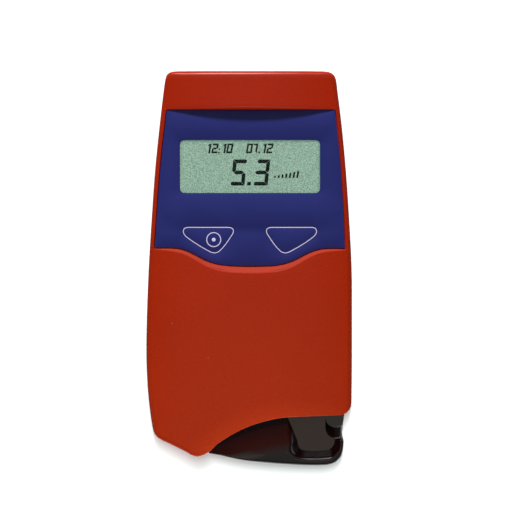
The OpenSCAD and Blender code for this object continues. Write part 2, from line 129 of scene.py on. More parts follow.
def seg_dist(points, line, closed=True):
    a = line if closed else line[:-1]
    b = np.roll(line, -1, 0) if closed else line[1:]
    ab = b - a
    l2 = np.maximum((ab ** 2).sum(1), 1e-12)
    out = np.empty(len(points))
    for i in range(0, len(points), 400):
        p = points[i:i + 400, None, :] - a[None]
        t = np.clip((p * ab[None]).sum(2) / l2[None], 0, 1)
        out[i:i + 400] = np.sqrt((((p - t[..., None] * ab[None]) ** 2).sum(2)).min(1))
    return out


def inset(line, d, closed=True, tol=0.03):
    """The line moved to its left by d. Points that would cross each other meet in one."""
    q = line + left_normals(line, closed) * np.asarray(d).reshape(-1, 1)
    dd = np.broadcast_to(np.abs(np.asarray(d, float)), (len(line),))
    if dd.max() < 0.3:
        return q
    bad = seg_dist(q, line, closed) < dd - tol
    if bad.all() or not bad.any():
        return q
    n, i = len(q), 0
    order = list(range(n))
    if closed:
        start = int(np.argmin(bad))
        order = order[start:] + order[:start]
    while i < n:
        if bad[order[i]]:
            j = i
            while j + 1 < n and bad[order[j + 1]]:
                j += 1
            a = order[i - 1] if i > 0 or closed else order[j + 1]
            b = order[(j + 1) % n] if j + 1 < n or closed else order[i - 1]
            for k in range(i, j + 1):
                q[order[k]] = (q[a] + q[b]) / 2
            i = j + 1
        else:
            i += 1
    return q


def in_poly(points, poly):
    x, y = points[:, 0], points[:, 1]
    inside = np.zeros(len(points), bool)
    a, b = poly, np.roll(poly, -1, 0)
    for (x0, y0), (x1, y1) in zip(a, b):
        if y0 == y1:
            continue
        m = (y0 > y) != (y1 > y)
        inside ^= m & (x < (x1 - x0) * (y - y0) / (y1 - y0) + x0)
    return inside


def conic(p0, p1, p2, n):
    """n + 1 rows from p0 to p2, round at p1, as for a fillet."""
    w = 0.7071
    rows = []
    for t in np.linspace(0, 1, n + 1):
        a, b, c = (1 - t) ** 2, 2 * w * t * (1 - t), t * t
        rows.append((a * p0 + b * p1 + c * p2) / (a + b + c))
    return rows


def smooth01(x):
    x = np.clip(x, 0, 1)
    return x * x * (3 - 2 * x)


def ramp(x, knots):
    """Smooth steps through (x, value) knots."""
    v = np.full(np.shape(x), float(knots[0][1]))
    for (x0, v0), (x1, v1) in zip(knots[:-1], knots[1:]):
        v = v + (v1 - v0) * smooth01((np.asarray(x, float) - x0) / (x1 - x0))
    return v


def round_loop(sides, r, step, k=6):
    """Closed loop from lines laid end to end, with each corner rounded over r."""
    n = len(sides)
    out = []
    cut = []
    for line in sides:
        total = lengths(line)[-1]
        m = max(2, int(round((total - 2 * r) / step)))
        cut.append(at_len(line, np.linspace(r, total - r, m + 1)))
    for i in range(n):
        out.extend(cut[i])
        a, b, c = cut[i][-1], sides[i][-1], cut[(i + 1) % n][0]
        out.extend(conic(a, b, c, k)[1:-1])
    return np.array(out)


# ---------------------------------------------------------------- meshes
class Build:
    """Collects loops, strips and patches of one mesh, in millimetres."""

    def __init__(self):
        self.v, self.f = [], []

    def add(self, pts):
        i = len(self.v)
        self.v.extend([tuple(float(c) for c in p) for p in pts])
        return list(range(i, i + len(pts)))

    def ring(self, xy, z):
        z = np.broadcast_to(np.asarray(z, float), (len(xy),))
        return self.add(np.column_stack([xy, z]))

    def strip(self, a, b, closed=True):
        n = len(a)
        for i in range(n if closed else n - 1):
            j = (i + 1) % n
            self.f.append((a[i], a[j], b[j], b[i]))

    def strips(self, rings, closed=True):
        for a, b in zip(rings[:-1], rings[1:]):
            self.strip(a, b, closed)

    def cap(self, a):
        self.f.append(tuple(a))

    def patch(self, outer, holes=(), zfun=None, spacing=None, clear=0.6, lines=()):
        """Fills the space between loops of vertices, with points of its own inside."""
        loops = [outer, *holes]
        v = np.array(self.v)
        pts, idx, edges = [], [], []
        for loop in loops:
            s = len(pts)
            pts.extend(v[loop][:, :2])
            idx.extend(loop)
            edges.extend((s + i, s + (i + 1) % len(loop)) for i in range(len(loop)))
        polys = [v[loop][:, :2] for loop in loops]
        inner = np.zeros((0, 2))
        if spacing:
            lo, hi = polys[0].min(0), polys[0].max(0)
            xs = np.arange(lo[0], hi[0], spacing)
            ys = np.arange(lo[1], hi[1], spacing * 0.866)
            gx, gy = np.meshgrid(xs, ys)
            gx = gx + (np.arange(len(ys)) % 2)[:, None] * spacing / 2
            inner = np.column_stack([gx.ravel(), gy.ravel()])
        for q in lines:
            inner = inner[seg_dist(inner, q) > spacing * 0.55]
            inner = np.vstack([inner, q])
        if len(inner):
            ok = in_poly(inner, polys[0])
            for h in polys[1:]:
                ok &= ~in_poly(inner, h)
            inner = inner[ok]
            for q in polys:
                inner = inner[seg_dist(inner, q) > (spacing or 1) * clear]
        new = self.add(np.column_stack([inner, zfun(inner[:, 0], inner[:, 1])])) if len(inner) else []
        pts.extend(inner)
        idx.extend(new)
        co, ed, tris, back, eo, _ = delaunay_2d_cdt([Vector((float(p[0]), float(p[1]))) for p in pts], edges, [], 0, 1e-7)
        back = [idx[o[0]] if o else None for o in back]
        wall = {(min(e), max(e)) for e, o in zip(ed, eo) if o}
        sides = {}
        for k, t in enumerate(tris):
            for i in range(3):
                e = (t[i], t[(i + 1) % 3])
                sides.setdefault((min(e), max(e)), []).append(k)
        inside = [None] * len(tris)
        todo = []
        for e, ks in sides.items():
            if len(ks) == 1 and inside[ks[0]] is None:
                inside[ks[0]] = e in wall
                todo.append(ks[0])
        while todo:
            k = todo.pop()
            t = tris[k]
            for i in range(3):
                e = (min(t[i], t[(i + 1) % 3]), max(t[i], t[(i + 1) % 3]))
                for m in sides[e]:
                    if inside[m] is None:
                        inside[m] = inside[k] != (e in wall)
                        todo.append(m)
        if None in back:
            print("patch: crossing outline", [tuple(round(c, 3) for c in co[i]) for i, o in enumerate(back) if o is None][:4])
        for t, k in zip(tris, inside):
            if k and None not in [back[i] for i in t]:
                self.f.append(tuple(back[i] for i in t))

    def mesh(self, name, merge=2e-4):
        me = bpy.data.meshes.new(name)
        me.from_pydata([(a * MM, b * MM, c * MM) for a, b, c in self.v], [], self.f)
        bm = bmesh.new()
        bm.from_mesh(me)
        bmesh.ops.remove_doubles(bm, verts=bm.verts, dist=merge * MM)
        bmesh.ops.dissolve_degenerate(bm, edges=bm.edges, dist=merge * MM * 0.5)
        loose = [v for v in bm.verts if not v.link_faces]
        bmesh.ops.delete(bm, geom=loose, context="VERTS")
        bmesh.ops.recalc_face_normals(bm, faces=bm.faces)
        bm.to_mesh(me)
        bm.free()
        return me

    def obj(self, name, merge=2e-4):
        return link(name, self.mesh(name, merge))


def link(name, me):
    o = bpy.data.objects.new(name, me)
    scene.collection.objects.link(o)
    return o


def open_edges(me):
    bm = bmesh.new()
    bm.from_mesh(me)
    n = sum(1 for e in bm.edges if len(e.link_faces) != 2)
    bm.free()
    return n


def copy_node(node, name):
    """A copy of a CAD node's mesh as a closed solid."""
    me = NODES[node].data.copy()
    me.name = name
    bm = bmesh.new()
    bm.from_mesh(me)
    bmesh.ops.remove_doubles(bm, verts=bm.verts, dist=2e-7)
    bmesh.ops.dissolve_degenerate(bm, edges=bm.edges, dist=1e-7)
    bm.to_mesh(me)
    bm.free()
    for a in [x for x in me.attributes if x.name == "custom_normal"]:
        me.attributes.remove(a)
    me.materials.clear()
    return link(name, me)


def boolean(a, b, op, solver="MANIFOLD", keep=False):
    """a becomes the union, difference or intersection with b, and b goes."""
    m = a.modifiers.new("b", "BOOLEAN")
    m.operation, m.object, m.solver = op, b, solver
    bpy.context.view_layer.update()
    dg = bpy.context.evaluated_depsgraph_get()
    me = bpy.data.meshes.new_from_object(a.evaluated_get(dg))
    a.modifiers.clear()
    old, a.data = a.data, me
    me.name = a.name
    bpy.data.meshes.remove(old)
    if not keep:
        drop(b)
    return a


def drop(o):
    me = o.data
    bpy.data.objects.remove(o)
    if me.users == 0:
        bpy.data.meshes.remove(me)


def tidy(o, angle=32, merge=1e-4):
    me = o.data
    bm = bmesh.new()
    bm.from_mesh(me)
    bmesh.ops.remove_doubles(bm, verts=bm.verts, dist=merge * MM)
    bmesh.ops.dissolve_degenerate(bm, edges=bm.edges, dist=merge * MM)
    big = [f for f in bm.faces if len(f.verts) > 4]
    if big:
        bmesh.ops.triangulate(bm, faces=big)
    for f in bm.faces:
        f.smooth = True
    bm.to_mesh(me)
    bm.free()
    me.set_sharp_from_angle(angle=math.radians(angle))
    return o


def lathe(name, profile, at=(0, 0, 0), axis="Z", n=48):
    """Solid of revolution of (radius, height) points; both ends are on the axis."""
    b = Build()
    rings = []
    for r, z in profile:
        if r < 1e-6:
            rings.append(b.add([(0, 0, z)]))
        else:
            rings.append(b.add([(r * math.cos(2 * math.pi * i / n), r * math.sin(2 * math.pi * i / n), z) for i in range(n)]))
    for p, q in zip(rings[:-1], rings[1:]):
        if len(p) == 1:
            b.f.extend((p[0], q[(i + 1) % n], q[i]) for i in range(n))
        elif len(q) == 1:
            b.f.extend((p[i], p[(i + 1) % n], q[0]) for i in range(n))
        else:
            b.strip(p, q)
    v = []
    for x, y, z in b.v:
        if axis == "Z":
            w = (x, y, z)
        elif axis == "Y":
            w = (x, z, -y)
        else:
            w = (z, x, y)
        v.append((w[0] + at[0], w[1] + at[1], w[2] + at[2]))
    b.v = v
    return b.obj(name)


def round_profile(r, z0, z1, e0=0.0, e1=0.0, n=4):
    """Profile of a round bar, with its end edges rounded by e0 and e1."""
    out = [(0, z0)]
    if e0:
        out += [(r - e0 + e0 * math.sin(a), z0 + e0 - e0 * math.cos(a)) for a in np.linspace(0, math.pi / 2, n + 1)]
    else:
        out += [(r, z0)]
    if e1:
        out += [(r - e1 + e1 * math.cos(a), z1 - e1 + e1 * math.sin(a)) for a in np.linspace(0, math.pi / 2, n + 1)]
    else:
        out += [(r, z1)]
    return out + [(0, z1)]


def flare_profile(r, z_open, z_end, e, n=4):
    """Profile of a cutter for a round hole that opens at z_open with a rounded edge and ends at z_end."""
    s = 1 if z_end > z_open else -1
    out = [(0, z_open - s * 1.0), (r + e, z_open - s * 1.0)]
    out += [(r + e - e * math.sin(a), z_open + s * (e - e * math.cos(a))) for a in np.linspace(0, math.pi / 2, n + 1)]
    return out + [(r, z_end), (0, z_end)]


def prism(name, loop, z0, z1):
    b = Build()
    lo, hi = b.ring(np.array(loop, float), z0), b.ring(np.array(loop, float), z1)
    b.strip(lo, hi)
    b.cap(lo[::-1])
    b.cap(hi)
    return b.obj(name)


def flared_prism(name, loop, z_open, z_end, e, n=3):
    """Cutter with a rounded edge where it opens."""
    s = 1 if z_end > z_open else -1
    loop = np.array(loop, float)
    b = Build()
    rings = [b.ring(inset(loop, -e), z_open - s * 1.0)]
    for a in np.linspace(0, math.pi / 2, n + 1):
        rings.append(b.ring(inset(loop, -(e - e * math.sin(a))), z_open + s * (e - e * math.cos(a))))
    rings.append(b.ring(loop, z_end))
    b.strips(rings)
    b.cap(rings[0][::-1])
    b.cap(rings[-1])
    return b.obj(name)


def box_loop(x0, y0, x1, y1, r=0.5, k=4):
    out = []
    for cx, cy, a in ((x1 - r, y0 + r, -90), (x1 - r, y1 - r, 0), (x0 + r, y1 - r, 90), (x0 + r, y0 + r, 180)):
        out += [(cx + r * math.cos(math.radians(a + 90 * i / k)), cy + r * math.sin(math.radians(a + 90 * i / k))) for i in range(k + 1)]
    return np.array(out)


def soft_plate(name, outer, holes, z0, z1, e=0.1, n=2):
    """Plate with holes, its upper edges rounded by e."""
    b = Build()
    tops, bottoms = [], []
    for k, loop in enumerate([outer, *holes]):
        loop = np.array(loop, float)
        sign = 1 if k == 0 else -1
        rings = [b.ring(loop, z0)]
        for a in np.linspace(0, math.pi / 2, n + 1):
            rings.append(b.ring(inset(loop, sign * e * (1 - math.cos(a))), z1 - e + e * math.sin(a)))
        b.strips(rings)
        tops.append(rings[-1])
        bottoms.append(rings[0])
    b.patch(tops[0], tops[1:])
    b.patch(bottoms[0], bottoms[1:])
    return b.obj(name)


def join(name, objs):
    """One object of several closed meshes."""
    bm = bmesh.new()
    for o in objs:
        bm.from_mesh(o.data)
    me = bpy.data.meshes.new(name)
    bm.to_mesh(me)
    bm.free()
    for o in objs:
        drop(o)
    return link(name, me)


# ---------------------------------------------------------------- outline of the case
# From beyond the right lower corner, up the right side, over the top, down to beyond the nose.
SIDE = catmull([(33.4, -65.3), (38.9, -59.8), (40.6, -58.1), (41.35, -57.1), (41.7, -55.9), (41.85, -50), (41.95, -40),
                (41.97, -20), (41.85, 0), (40.85, 20), (39.5, 40), (37.6, 60), (36.1, 72), (35.7, 75.5),
                (35.35, 77.2), (34.65, 78.55), (33.4, 79.5), (31.4, 80.03), (26, 80.22), (0.6, 80.26),
                (-25, 80.22), (-31, 80.03), (-32.7, 79.45), (-33.75, 78.4), (-34.2, 77.05),
                (-34.5, 75.3), (-34.95, 72), (-36.35, 60), (-38.4, 40), (-39.8, 20), (-41, 0),
                (-41.75, -20), (-41.98, -32), (-41.85, -40), (-41.3, -50), (-40.2, -60),
                (-39.6, -63.7), (-39.1, -66.2), (-38.55, -67.5), (-37.7, -68.6), (-36.2, -69.7),
                (-32, -71.75), (-27.6, -73.9), (-23.9, -75.6), (-22.4, -76.05), (-20.6, -76.2),
                (-18.8, -75.85), (-17.4, -75.1), (-14.5, -73.55), (-9, -70.6), (-4, -67.9)], 0.3)
SCOOP = catmull([(x, SC[1] + math.sqrt(SR ** 2 - (x - SC[0]) ** 2) - 0.55 * (1 - smooth01((x + 17) / 5))
                  - 0.24 * smooth01((x + 13) / 4) * (1 - smooth01((x - 5) / 9))) for x in np.linspace(-26, 14, 41)]
                + [(18, -59.7), (22, -59.56), (27, -59.4), (32, -59.26), (38, -59.08), (46, -58.85)], 0.3)
# the walls lean less at the nose
LEAN = 1 - 0.55 * smooth01((np.arange(len(SIDE)) * 0.3 - 0.3 * int(np.argmin(np.linalg.norm(SIDE - np.array([-28.0, -73.7]), axis=1)))) / 9.0)


def crossing(a, b, first=True):
    """Place on line a, as a float index, and on line b, where they first or last cross."""
    best = None
    order = range(len(a) - 1) if first else range(len(a) - 2, -1, -1)
    p, r = b[:-1], b[1:] - b[:-1]
    for i in order:
        q, s = a[i], a[i + 1] - a[i]
        d = r[:, 0] * s[1] - r[:, 1] * s[0]
        with np.errstate(all="ignore"):
            w = q - p
            t = (w[:, 0] * s[1] - w[:, 1] * s[0]) / d
            u = (w[:, 0] * r[:, 1] - w[:, 1] * r[:, 0]) / d
        hit = np.where((t >= 0) & (t <= 1) & (u >= 0) & (u <= 1))[0]
        if len(hit):
            best = (i + u[hit[0]], hit[0] + t[hit[0]])
            break
    return best


def by_index(line, t):
    i = np.arange(len(line))
    return np.stack([np.interp(t, i, line[:, 0]), np.interp(t, i, line[:, 1])], 1)


_base = {}
STEP_I = 0.3  # millimetres a step of SIDE's index


def level(d_out, d_sc, rc=0.8, n_c=6):
    """Loop of the case inset by d_out along its outside and by d_sc along the scoop. Each call has the same count of points."""
    e = inset(SIDE, d_out * LEAN, closed=False)
    s = inset(SCOOP, d_sc, closed=False)
    t0, u1 = crossing(e, s, True)
    t1, u0 = crossing(e, s, False)
    c0 = by_index(e, np.array([t0]))[0]
    c1 = by_index(e, np.array([t1]))[0]
    r_i = rc / STEP_I
    if not _base:
        a, b = t0 + r_i, t1 - r_i
        turn = np.abs(np.gradient(np.unwrap(np.arctan2(np.gradient(SIDE[:, 1]), np.gradient(SIDE[:, 0])))))
        turn = np.convolve(turn, np.ones(5) / 5, "same") / STEP_I
        step = np.clip(0.16 / np.maximum(turn, 1e-4), 0.35, 1.5)
        grid = np.arange(len(SIDE), dtype=float)
        dens = np.cumsum(STEP_I / step)
        n = int(np.interp(b, grid, dens) - np.interp(a, grid, dens))
        _base["t"] = np.interp(np.linspace(np.interp(a, grid, dens), np.interp(b, grid, dens), n + 1), dens, grid)
        _base["ns"] = 56
    t = _base["t"].copy()
    fall = 9 / STEP_I
    sh0, sh1 = t0 + r_i - t[0], t1 - r_i - t[-1]
    w0, w1 = 1 - smooth01((t - t[0]) / fall), 1 - smooth01((t[-1] - t) / fall)
    t = t + sh0 * w0 + sh1 * w1
    side = by_index(e, t)
    ls = lengths(s)
    a = np.interp(u0, np.arange(len(s)), ls) + rc
    b = np.interp(u1, np.arange(len(s)), ls) - rc
    scoop = at_len(s, np.linspace(a, b, _base["ns"] + 1))
    nose = np.array(conic(side[-1], c1, scoop[0], n_c)[1:-1])
    corner = np.array(conic(scoop[-1], c0, side[0], n_c)[1:-1])
    loop = np.vstack([side, nose, scoop, corner])
    w = np.concatenate([np.zeros(len(side)), np.linspace(0, 1, len(nose) + 2)[1:-1], np.ones(len(scoop)),
                        np.linspace(1, 0, len(corner) + 2)[1:-1]])
    # distance along the side from the nearer lower corner
    near = np.concatenate([np.minimum(np.arange(len(side)), len(side) - 1 - np.arange(len(side))) * 1.0,
                           np.zeros(len(nose) + len(scoop) + len(corner))])
    sl = lengths(side)
    near[:len(side)] = np.minimum(sl, sl[-1] - sl)
    return loop, w, near


A0, W_SC, NEAR = level(0, 0)
A1 = level(1.3, 0)[0]


def wall_at(d):
    d = np.broadcast_to(np.asarray(d, float), (len(A0),))
    return A0 + (A1 - A0) * (d / 1.3)[:, None]


HUB = np.array([-8.0, -20.0])


def ray_loop(poly, t, n=300):
    """Loop t inside a closed outline, one point on each of n rays from HUB."""
    s = resample(poly, lengths(poly, True)[-1] / n, True)
    d = s - HUB
    d = d / np.linalg.norm(d, axis=1)[:, None]
    hi = np.linalg.norm(s - HUB, axis=1)
    lo = hi * 0.7
    for _ in range(22):
        mid = (lo + hi) / 2
        q = HUB + d * mid[:, None]
        ok = (seg_dist(q, poly) >= t) & in_poly(q, poly)
        lo, hi = np.where(ok, mid, lo), np.where(ok, hi, mid)
    return HUB + d * lo[:, None]


def draft(z):
    h = np.maximum(np.asarray(z, float) - 20, 0)
    return np.minimum(0.0179 * h + 0.00271 * h * h, 1.2 + 0.02 * (h - 18))


def crown(x, y):
    return 42.98 - 0.01693 * (y + 63) - (x - CX) ** 2 / 370 - 0.4 * np.maximum((y - 60) / 20, 0) ** 2


def crown_of(xy):
    return crown(xy[:, 0], xy[:, 1])


# ---------------------------------------------------------------- the panel's opening
def panel_line(pts):
    return [(CX + a, b) for a, b in pts]


P_SIDE = [(38.5, 8.1), (38.1, 15.4), (37.2, 31.6), (35.9, 47.7), (34.2, 63.9)]
P_LOW = [(38.5, 8.1), (33, 8.2), (28.5, 7.9), (25, 6.8), (22, 5.5), (18, 3.55), (14, 1.9), (10, 0.9), (6, 0.45), (0, 0.3)]
LOW_DY = [(-38.5, -0.3), (-31, -0.38), (-24.5, -0.44), (-21.5, -0.6), (-18, -0.74), (-15.5, -0.6), (-13, -0.36), (-9.5, -0.06), (-6, 0.1),
          (3, 0.14), (6.5, 0.08), (9.5, -0.1), (13, -0.27), (16, -0.48), (19, -0.62), (22, -0.48), (25.5, -0.42), (29, -0.54), (39.5, -0.6)]
LEFT_DX = [(7.5, 0.45), (12.7, 0.32), (16, 0.25), (22, 0.24), (25.7, 0.16), (30, 0.05), (35, 0.02), (48, -0.1), (55, -0.2), (64, -0.3)]
RIGHT_DX = [(7.5, 0.12), (16, 0.04), (25, 0.08), (32, 0.12), (35, 0.2), (45, 0.24), (55, 0.2), (64, 0.17)]


def moved(pts, table, axis):
    """Points with one coordinate moved by an amount that follows the other."""
    pts = np.array(pts, float)
    t, d = np.array(table).T
    pts[:, axis] += np.interp(pts[:, 1 - axis], t, d)
    return [tuple(p) for p in pts]


low_pts = moved(panel_line([(-a, b) for a, b in P_LOW[:-1]] + P_LOW[::-1]), LOW_DY, 1)
right_pts = moved(panel_line(P_SIDE), RIGHT_DX, 0)
left_pts = [(x - 2 * (x - CX) - 0, y) for x, y in moved(panel_line(P_SIDE), LEFT_DX, 0)][::-1]
low_pts[0], low_pts[-1] = left_pts[-1][:1] + low_pts[0][1:], right_pts[0][:1] + low_pts[-1][1:]
left_pts[-1], right_pts[0] = low_pts[0], low_pts[-1]
low_line = catmull(low_pts, 0.2)
right_line = catmull(right_pts, 0.2)
brow_line = catmull([right_pts[-1], (CX + 12, 63.95), (CX - 12, 63.95), left_pts[0]], 0.2)
left_line = catmull(left_pts, 0.2)
Q = round_loop([low_line, right_line, brow_line, left_line], 0.8, 0.8, 5)


def flare(q):
    """How far the opening's side leans, in Y, for each millimetre up."""
    x, y = np.abs(q[:, 0] - CX), q[:, 1]
    f = np.zeros(len(q))
    side = np.interp(y, [8.1, 15.4, 31.6, 47.7, 63.9], [38.5, 38.1, 37.2, 35.9, 34.2])
    on_side = x > side - 0.7
    f[y < 8.35] = -0.5
    f[y > 63.3] = 0.23
    f[on_side & (y >= 7.4) & (y < 12)] = -0.5 * (1 - smooth01((y[on_side & (y >= 7.4) & (y < 12)] - 8.3) / 3.5))
    f[on_side & (y > 58) & (y <= 63.3)] = 0.23 * smooth01((y[on_side & (y > 58) & (y <= 63.3)] - 58) / 5.3)
    return f


def key_loop(m, d=0.0, step=0.5):
    """Outline of a key, grown by d. m is -1 for the left one."""
    line = resample(catmull([(m * a, b) for a, b in KEY], 0.2, True), step, True)
    area = (line[:, 0] * np.roll(line[:, 1], -1) - np.roll(line[:, 0], -1) * line[:, 1]).sum()
    if area < 0:
        line = line[::-1]
    line = inset(line, -d) if d else line
    return line + np.array([KEY_X, 0])


# ---------------------------------------------------------------- front shell
def front_outer():
    b = Build()
    y0 = A0[:, 1]
    rho = ramp(y0, [(-60, 1.5), (2, 1.5), (9, 0.7), (64, 0.7), (73, 1.45)])
    rho = np.where(W_SC > 0, 0.55, 0.55 + (rho - 0.55) * smooth01(NEAR / 5))
    at_corner = smooth01((np.abs(A0[:, 0]) - 26) / 5) * smooth01((y0 - 72) / 3)
    rho = rho * (1 - at_corner) + 1.15 * at_corner
    c = wall_at(1.2)
    for _ in range(3):
        zc = crown_of(c)
        c = wall_at(draft(zc))
    zc = crown_of(c)
    rows = [b.ring(wall_at(0.24), 20.0), b.ring(wall_at(0.0), 20.24)]
    for z in (22.5, 25, 27.5, 30.5, 33.5):
        rows.append(b.ring(wall_at(draft(z)), z))
    z0 = zc - rho
    p0 = np.column_stack([wall_at(draft(z0)), z0])
    p1 = np.column_stack([c, zc])
    c2 = inset(c, rho)
    p2 = np.column_stack([c2, crown_of(c2)])
    for r in conic(p0, p1, p2, 8):
        rows.append(b.add(r))
    b.strips(rows)
    b.cap(rows[0][::-1])
    # the panel's opening
    f = flare(Q)
    u = Q.copy()
    for _ in range(4):
        h = crown_of(u) - FACE_Z
        u = Q + np.column_stack([np.zeros(len(Q)), f * h])
    zu = crown_of(u)
    a = np.where(np.abs(f) < 0.02, 0.17, np.where(f < 0, 0.30, 0.65))
    a = np.convolve(np.concatenate([a[-4:], a, a[:4]]), np.ones(9) / 9, "valid")
    a = np.minimum(a, 0.42 * (zu - FACE_Z) + 0.03)
    down = np.column_stack([Q - u, FACE_Z - zu])
    down /= np.linalg.norm(down, axis=1)[:, None]
    p1 = np.column_stack([u, zu])
    p0 = p1 + down * a[:, None]
    u2 = inset(u, -a)
    p2 = np.column_stack([u2, crown_of(u2)])
    lip = [b.ring(Q, SLAB_Z), b.ring(Q, FACE_Z)]
    q1 = np.column_stack([Q, np.full(len(Q), FACE_Z)])
    for t in (0.34, 0.67):
        lip.append(b.add(q1 + (p0 - q1) * t))
    for r in conic(p0, p1, p2, 6):
        lip.append(b.add(r))
    b.strips(lip)
    b.cap(lip[0])
    b.patch(rows[-1], [lip[-1]], crown, 2.2, 0.45)
    return b.obj("front_outer")


def front_inner(name, t, z_slab):
    """The space inside the front shell, t under its surface."""
    b = Build()
    lo = ray_loop(A0, t)
    top = wall_at(1.25)
    # the same rays, stopped t inside the smaller outline at the crown
    d = (lo - HUB) / np.linalg.norm(lo - HUB, axis=1)[:, None]
    near, far = np.linalg.norm(lo - HUB, axis=1) * 0.7, np.linalg.norm(lo - HUB, axis=1)
    for _ in range(22):
        mid = (near + far) / 2
        q = HUB + d * mid[:, None]
        ok = (seg_dist(q, top) >= t) & in_poly(q, top)
        near, far = np.where(ok, mid, near), np.where(ok, far, mid)
    hi = HUB + d * near[:, None]
    rows = []
    for z in (18.5, 24, 30):
        rows.append(b.ring(lo + (hi - lo) * float(draft(z)) / 1.25, z))
    rows.append(b.ring(hi, crown_of(hi) - 1.1 * t))
    b.strips(rows)
    b.cap(rows[0][::-1])
    b.patch(rows[-1], [], lambda x, y: crown(x, y) - 1.1 * t, 5.0, 0.5)
    o = b.obj(name)
    big = inset(resample(Q, 1.2, True), -(0.7 + t))
    return boolean(o, prism("pb", big, z_slab, 60), "DIFFERENCE")


SLOT = [(-20.9, -63.5), (-12, -61.7), (-2, -59.9), (6.5, -57.2), (9.8, -43.1), (26.6, -43.1)] \
    + arc(P, 54.2, 29, TAIL_A + 3.2, 8) + arc(P, 61.3, TAIL_A + 3.2, 5, 14) + [(60, -63.7), (60, -95), (-20.9, -95)]


def ccw(loop):
    loop = np.array(loop, float)
    a = (loop[:, 0] * np.roll(loop[:, 1], -1) - np.roll(loop[:, 0], -1) * loop[:, 1]).sum()
    return loop if a > 0 else loop[::-1]


def slot_cutter():
    lower = prism("s1", ccw(SLOT), 9.68, 22.32)
    lower = boolean(lower, lathe("s2", round_profile(5.52, 9.68, 22.32), (P[0], P[1], 0), n=64), "UNION")
    upper = prism("s3", ccw(SLOT), 22.0, 27.42)
    upper = boolean(upper, lathe("s4", round_profile(7.2, 22.3, 30), (P[0], P[1], 0), n=64), "DIFFERENCE")
    keep = np.array([(-9, -1), (8, -1), (8, 12), (-9, 12)], float) + P
    upper = boolean(upper, prism("s5", keep, 22.3, 30), "DIFFERENCE")
    lower = boolean(lower, upper, "UNION")
    groove = prism("s6", ccw(arc(P, 61, TAIL_A + 2.2, TAIL_A - ARM_OPEN - 1.6, 12)
                             + arc(P, 62.3, TAIL_A - ARM_OPEN - 1.6, TAIL_A + 2.2, 12)), 13.8, 18.2)
    return boolean(lower, groove, "UNION")


# gap between the overlay and the side of its opening, wider along the lower edge
Q_GAP = 0.34 + 0.14 * (1 - smooth01((Q[:, 1] - 10.5) / 5)) - 0.08 * smooth01((Q[:, 1] - 58) / 3)


def make_front():
    shell = boolean(front_outer(), front_inner("fi", 1.7, 35.2), "DIFFERENCE")
    inner = boolean(copy_node("front_housing", "fs"), front_inner("fj", 0.7, 36.2), "INTERSECT")
    shell = boolean(shell, inner, "UNION")
    shell = boolean(shell, slot_cutter(), "DIFFERENCE")
    x, y, w, h = WIN
    shell = boolean(shell, prism("w1", box_loop(x - w / 2 - 0.82, y - h / 2 - 0.82, x + w / 2 + 0.82, y + h / 2 + 0.82, 1.2), 30, 40), "DIFFERENCE")
    shell = boolean(shell, prism("w2", box_loop(x - w / 2 - 1.82, y - h / 2 - 1.82, x + w / 2 + 1.82, y + h / 2 + 1.82, 2.2), SLAB_Z - 0.61, 40), "DIFFERENCE")
    ring = boolean(prism("g1", inset(Q, 0.03), 36.3, 37.1), prism("g2", inset(Q, Q_GAP + 0.12), 36, 38), "DIFFERENCE")
    shell = boolean(shell, ring, "DIFFERENCE")
    for m in (-1, 1):
        shell = boolean(shell, prism("k1", key_loop(m, 0.42), 35.69, 38), "DIFFERENCE")
        shell = boolean(shell, lathe("k2", round_profile(2.31, 30, 38), (KEY_X + m * KEY_C[0], KEY_C[1], 0)), "DIFFERENCE")
    prof = [(0, 95), (5.4, 95), (5.4, 80.34), (4.95, 80.28), (4.6, 80.1), (4.32, 79.75), (4.21, 79.3), (4.21, 70), (0, 70)]
    shell = boolean(shell, lathe("plug", prof, (20, 0, 25), "Y", 64), "DIFFERENCE")
    shell.name = shell.data.name = "front_shell"
    return tidy(shell)


# ---------------------------------------------------------------- rear shell
def rear_rows(t=0.0):
    """(outer inset, outer z, scoop inset, scoop z) of each row, from the parting plane down."""
    if t:
        return [(0.0, 21.5, 0.0, 21.5), (0.1, 16.0, 0.0, 16), (0.3, 7.5, 0.0, 7.5), (0.5, 4.9, 0.0, 4.9),
                (1.5, 2.6 + 0.3, 0.3, 2.6), (2.6, FLOOR_Z, 0.5, FLOOR_Z)]
    rows = [(0.24, 19.98, 0.0, 19.98), (0.0, 19.74, 0.0, 19.74)]
    for z in (17, 13, 9.7, 7.5):
        rows.append((0.3 * (20 - z) / 13, z, 0.0, z))
    p0, p1, p2 = np.array([0.31, 6.6]), np.array([0.5, FLOOR_Z]), np.array([4.3, FLOOR_Z])
    s0, s1, s2 = np.array([0.0, 2.3]), np.array([0.0, FLOOR_Z]), np.array([1.1, FLOOR_Z])
    for r, s in zip(conic(p0, p1, p2, 9), conic(s0, s1, s2, 9)):
        rows.append((r[0], r[1], s[0], s[1]))
    return rows


def rear_solid(name, t=0.0):
    b = Build()
    rows = []
    for d, z, ds, zs in rear_rows(t):
        loop, w, _ = level(d, ds, 0.8)
        if t:
            rows.append(b.ring(ray_loop(loop, t), max(z, FLOOR_Z + t)))
        else:
            rows.append(b.ring(loop, (1 - w) * z + w * zs))
    b.strips(rows)
    b.cap(rows[0])
    b.cap(rows[-1][::-1])
    return b.obj(name)


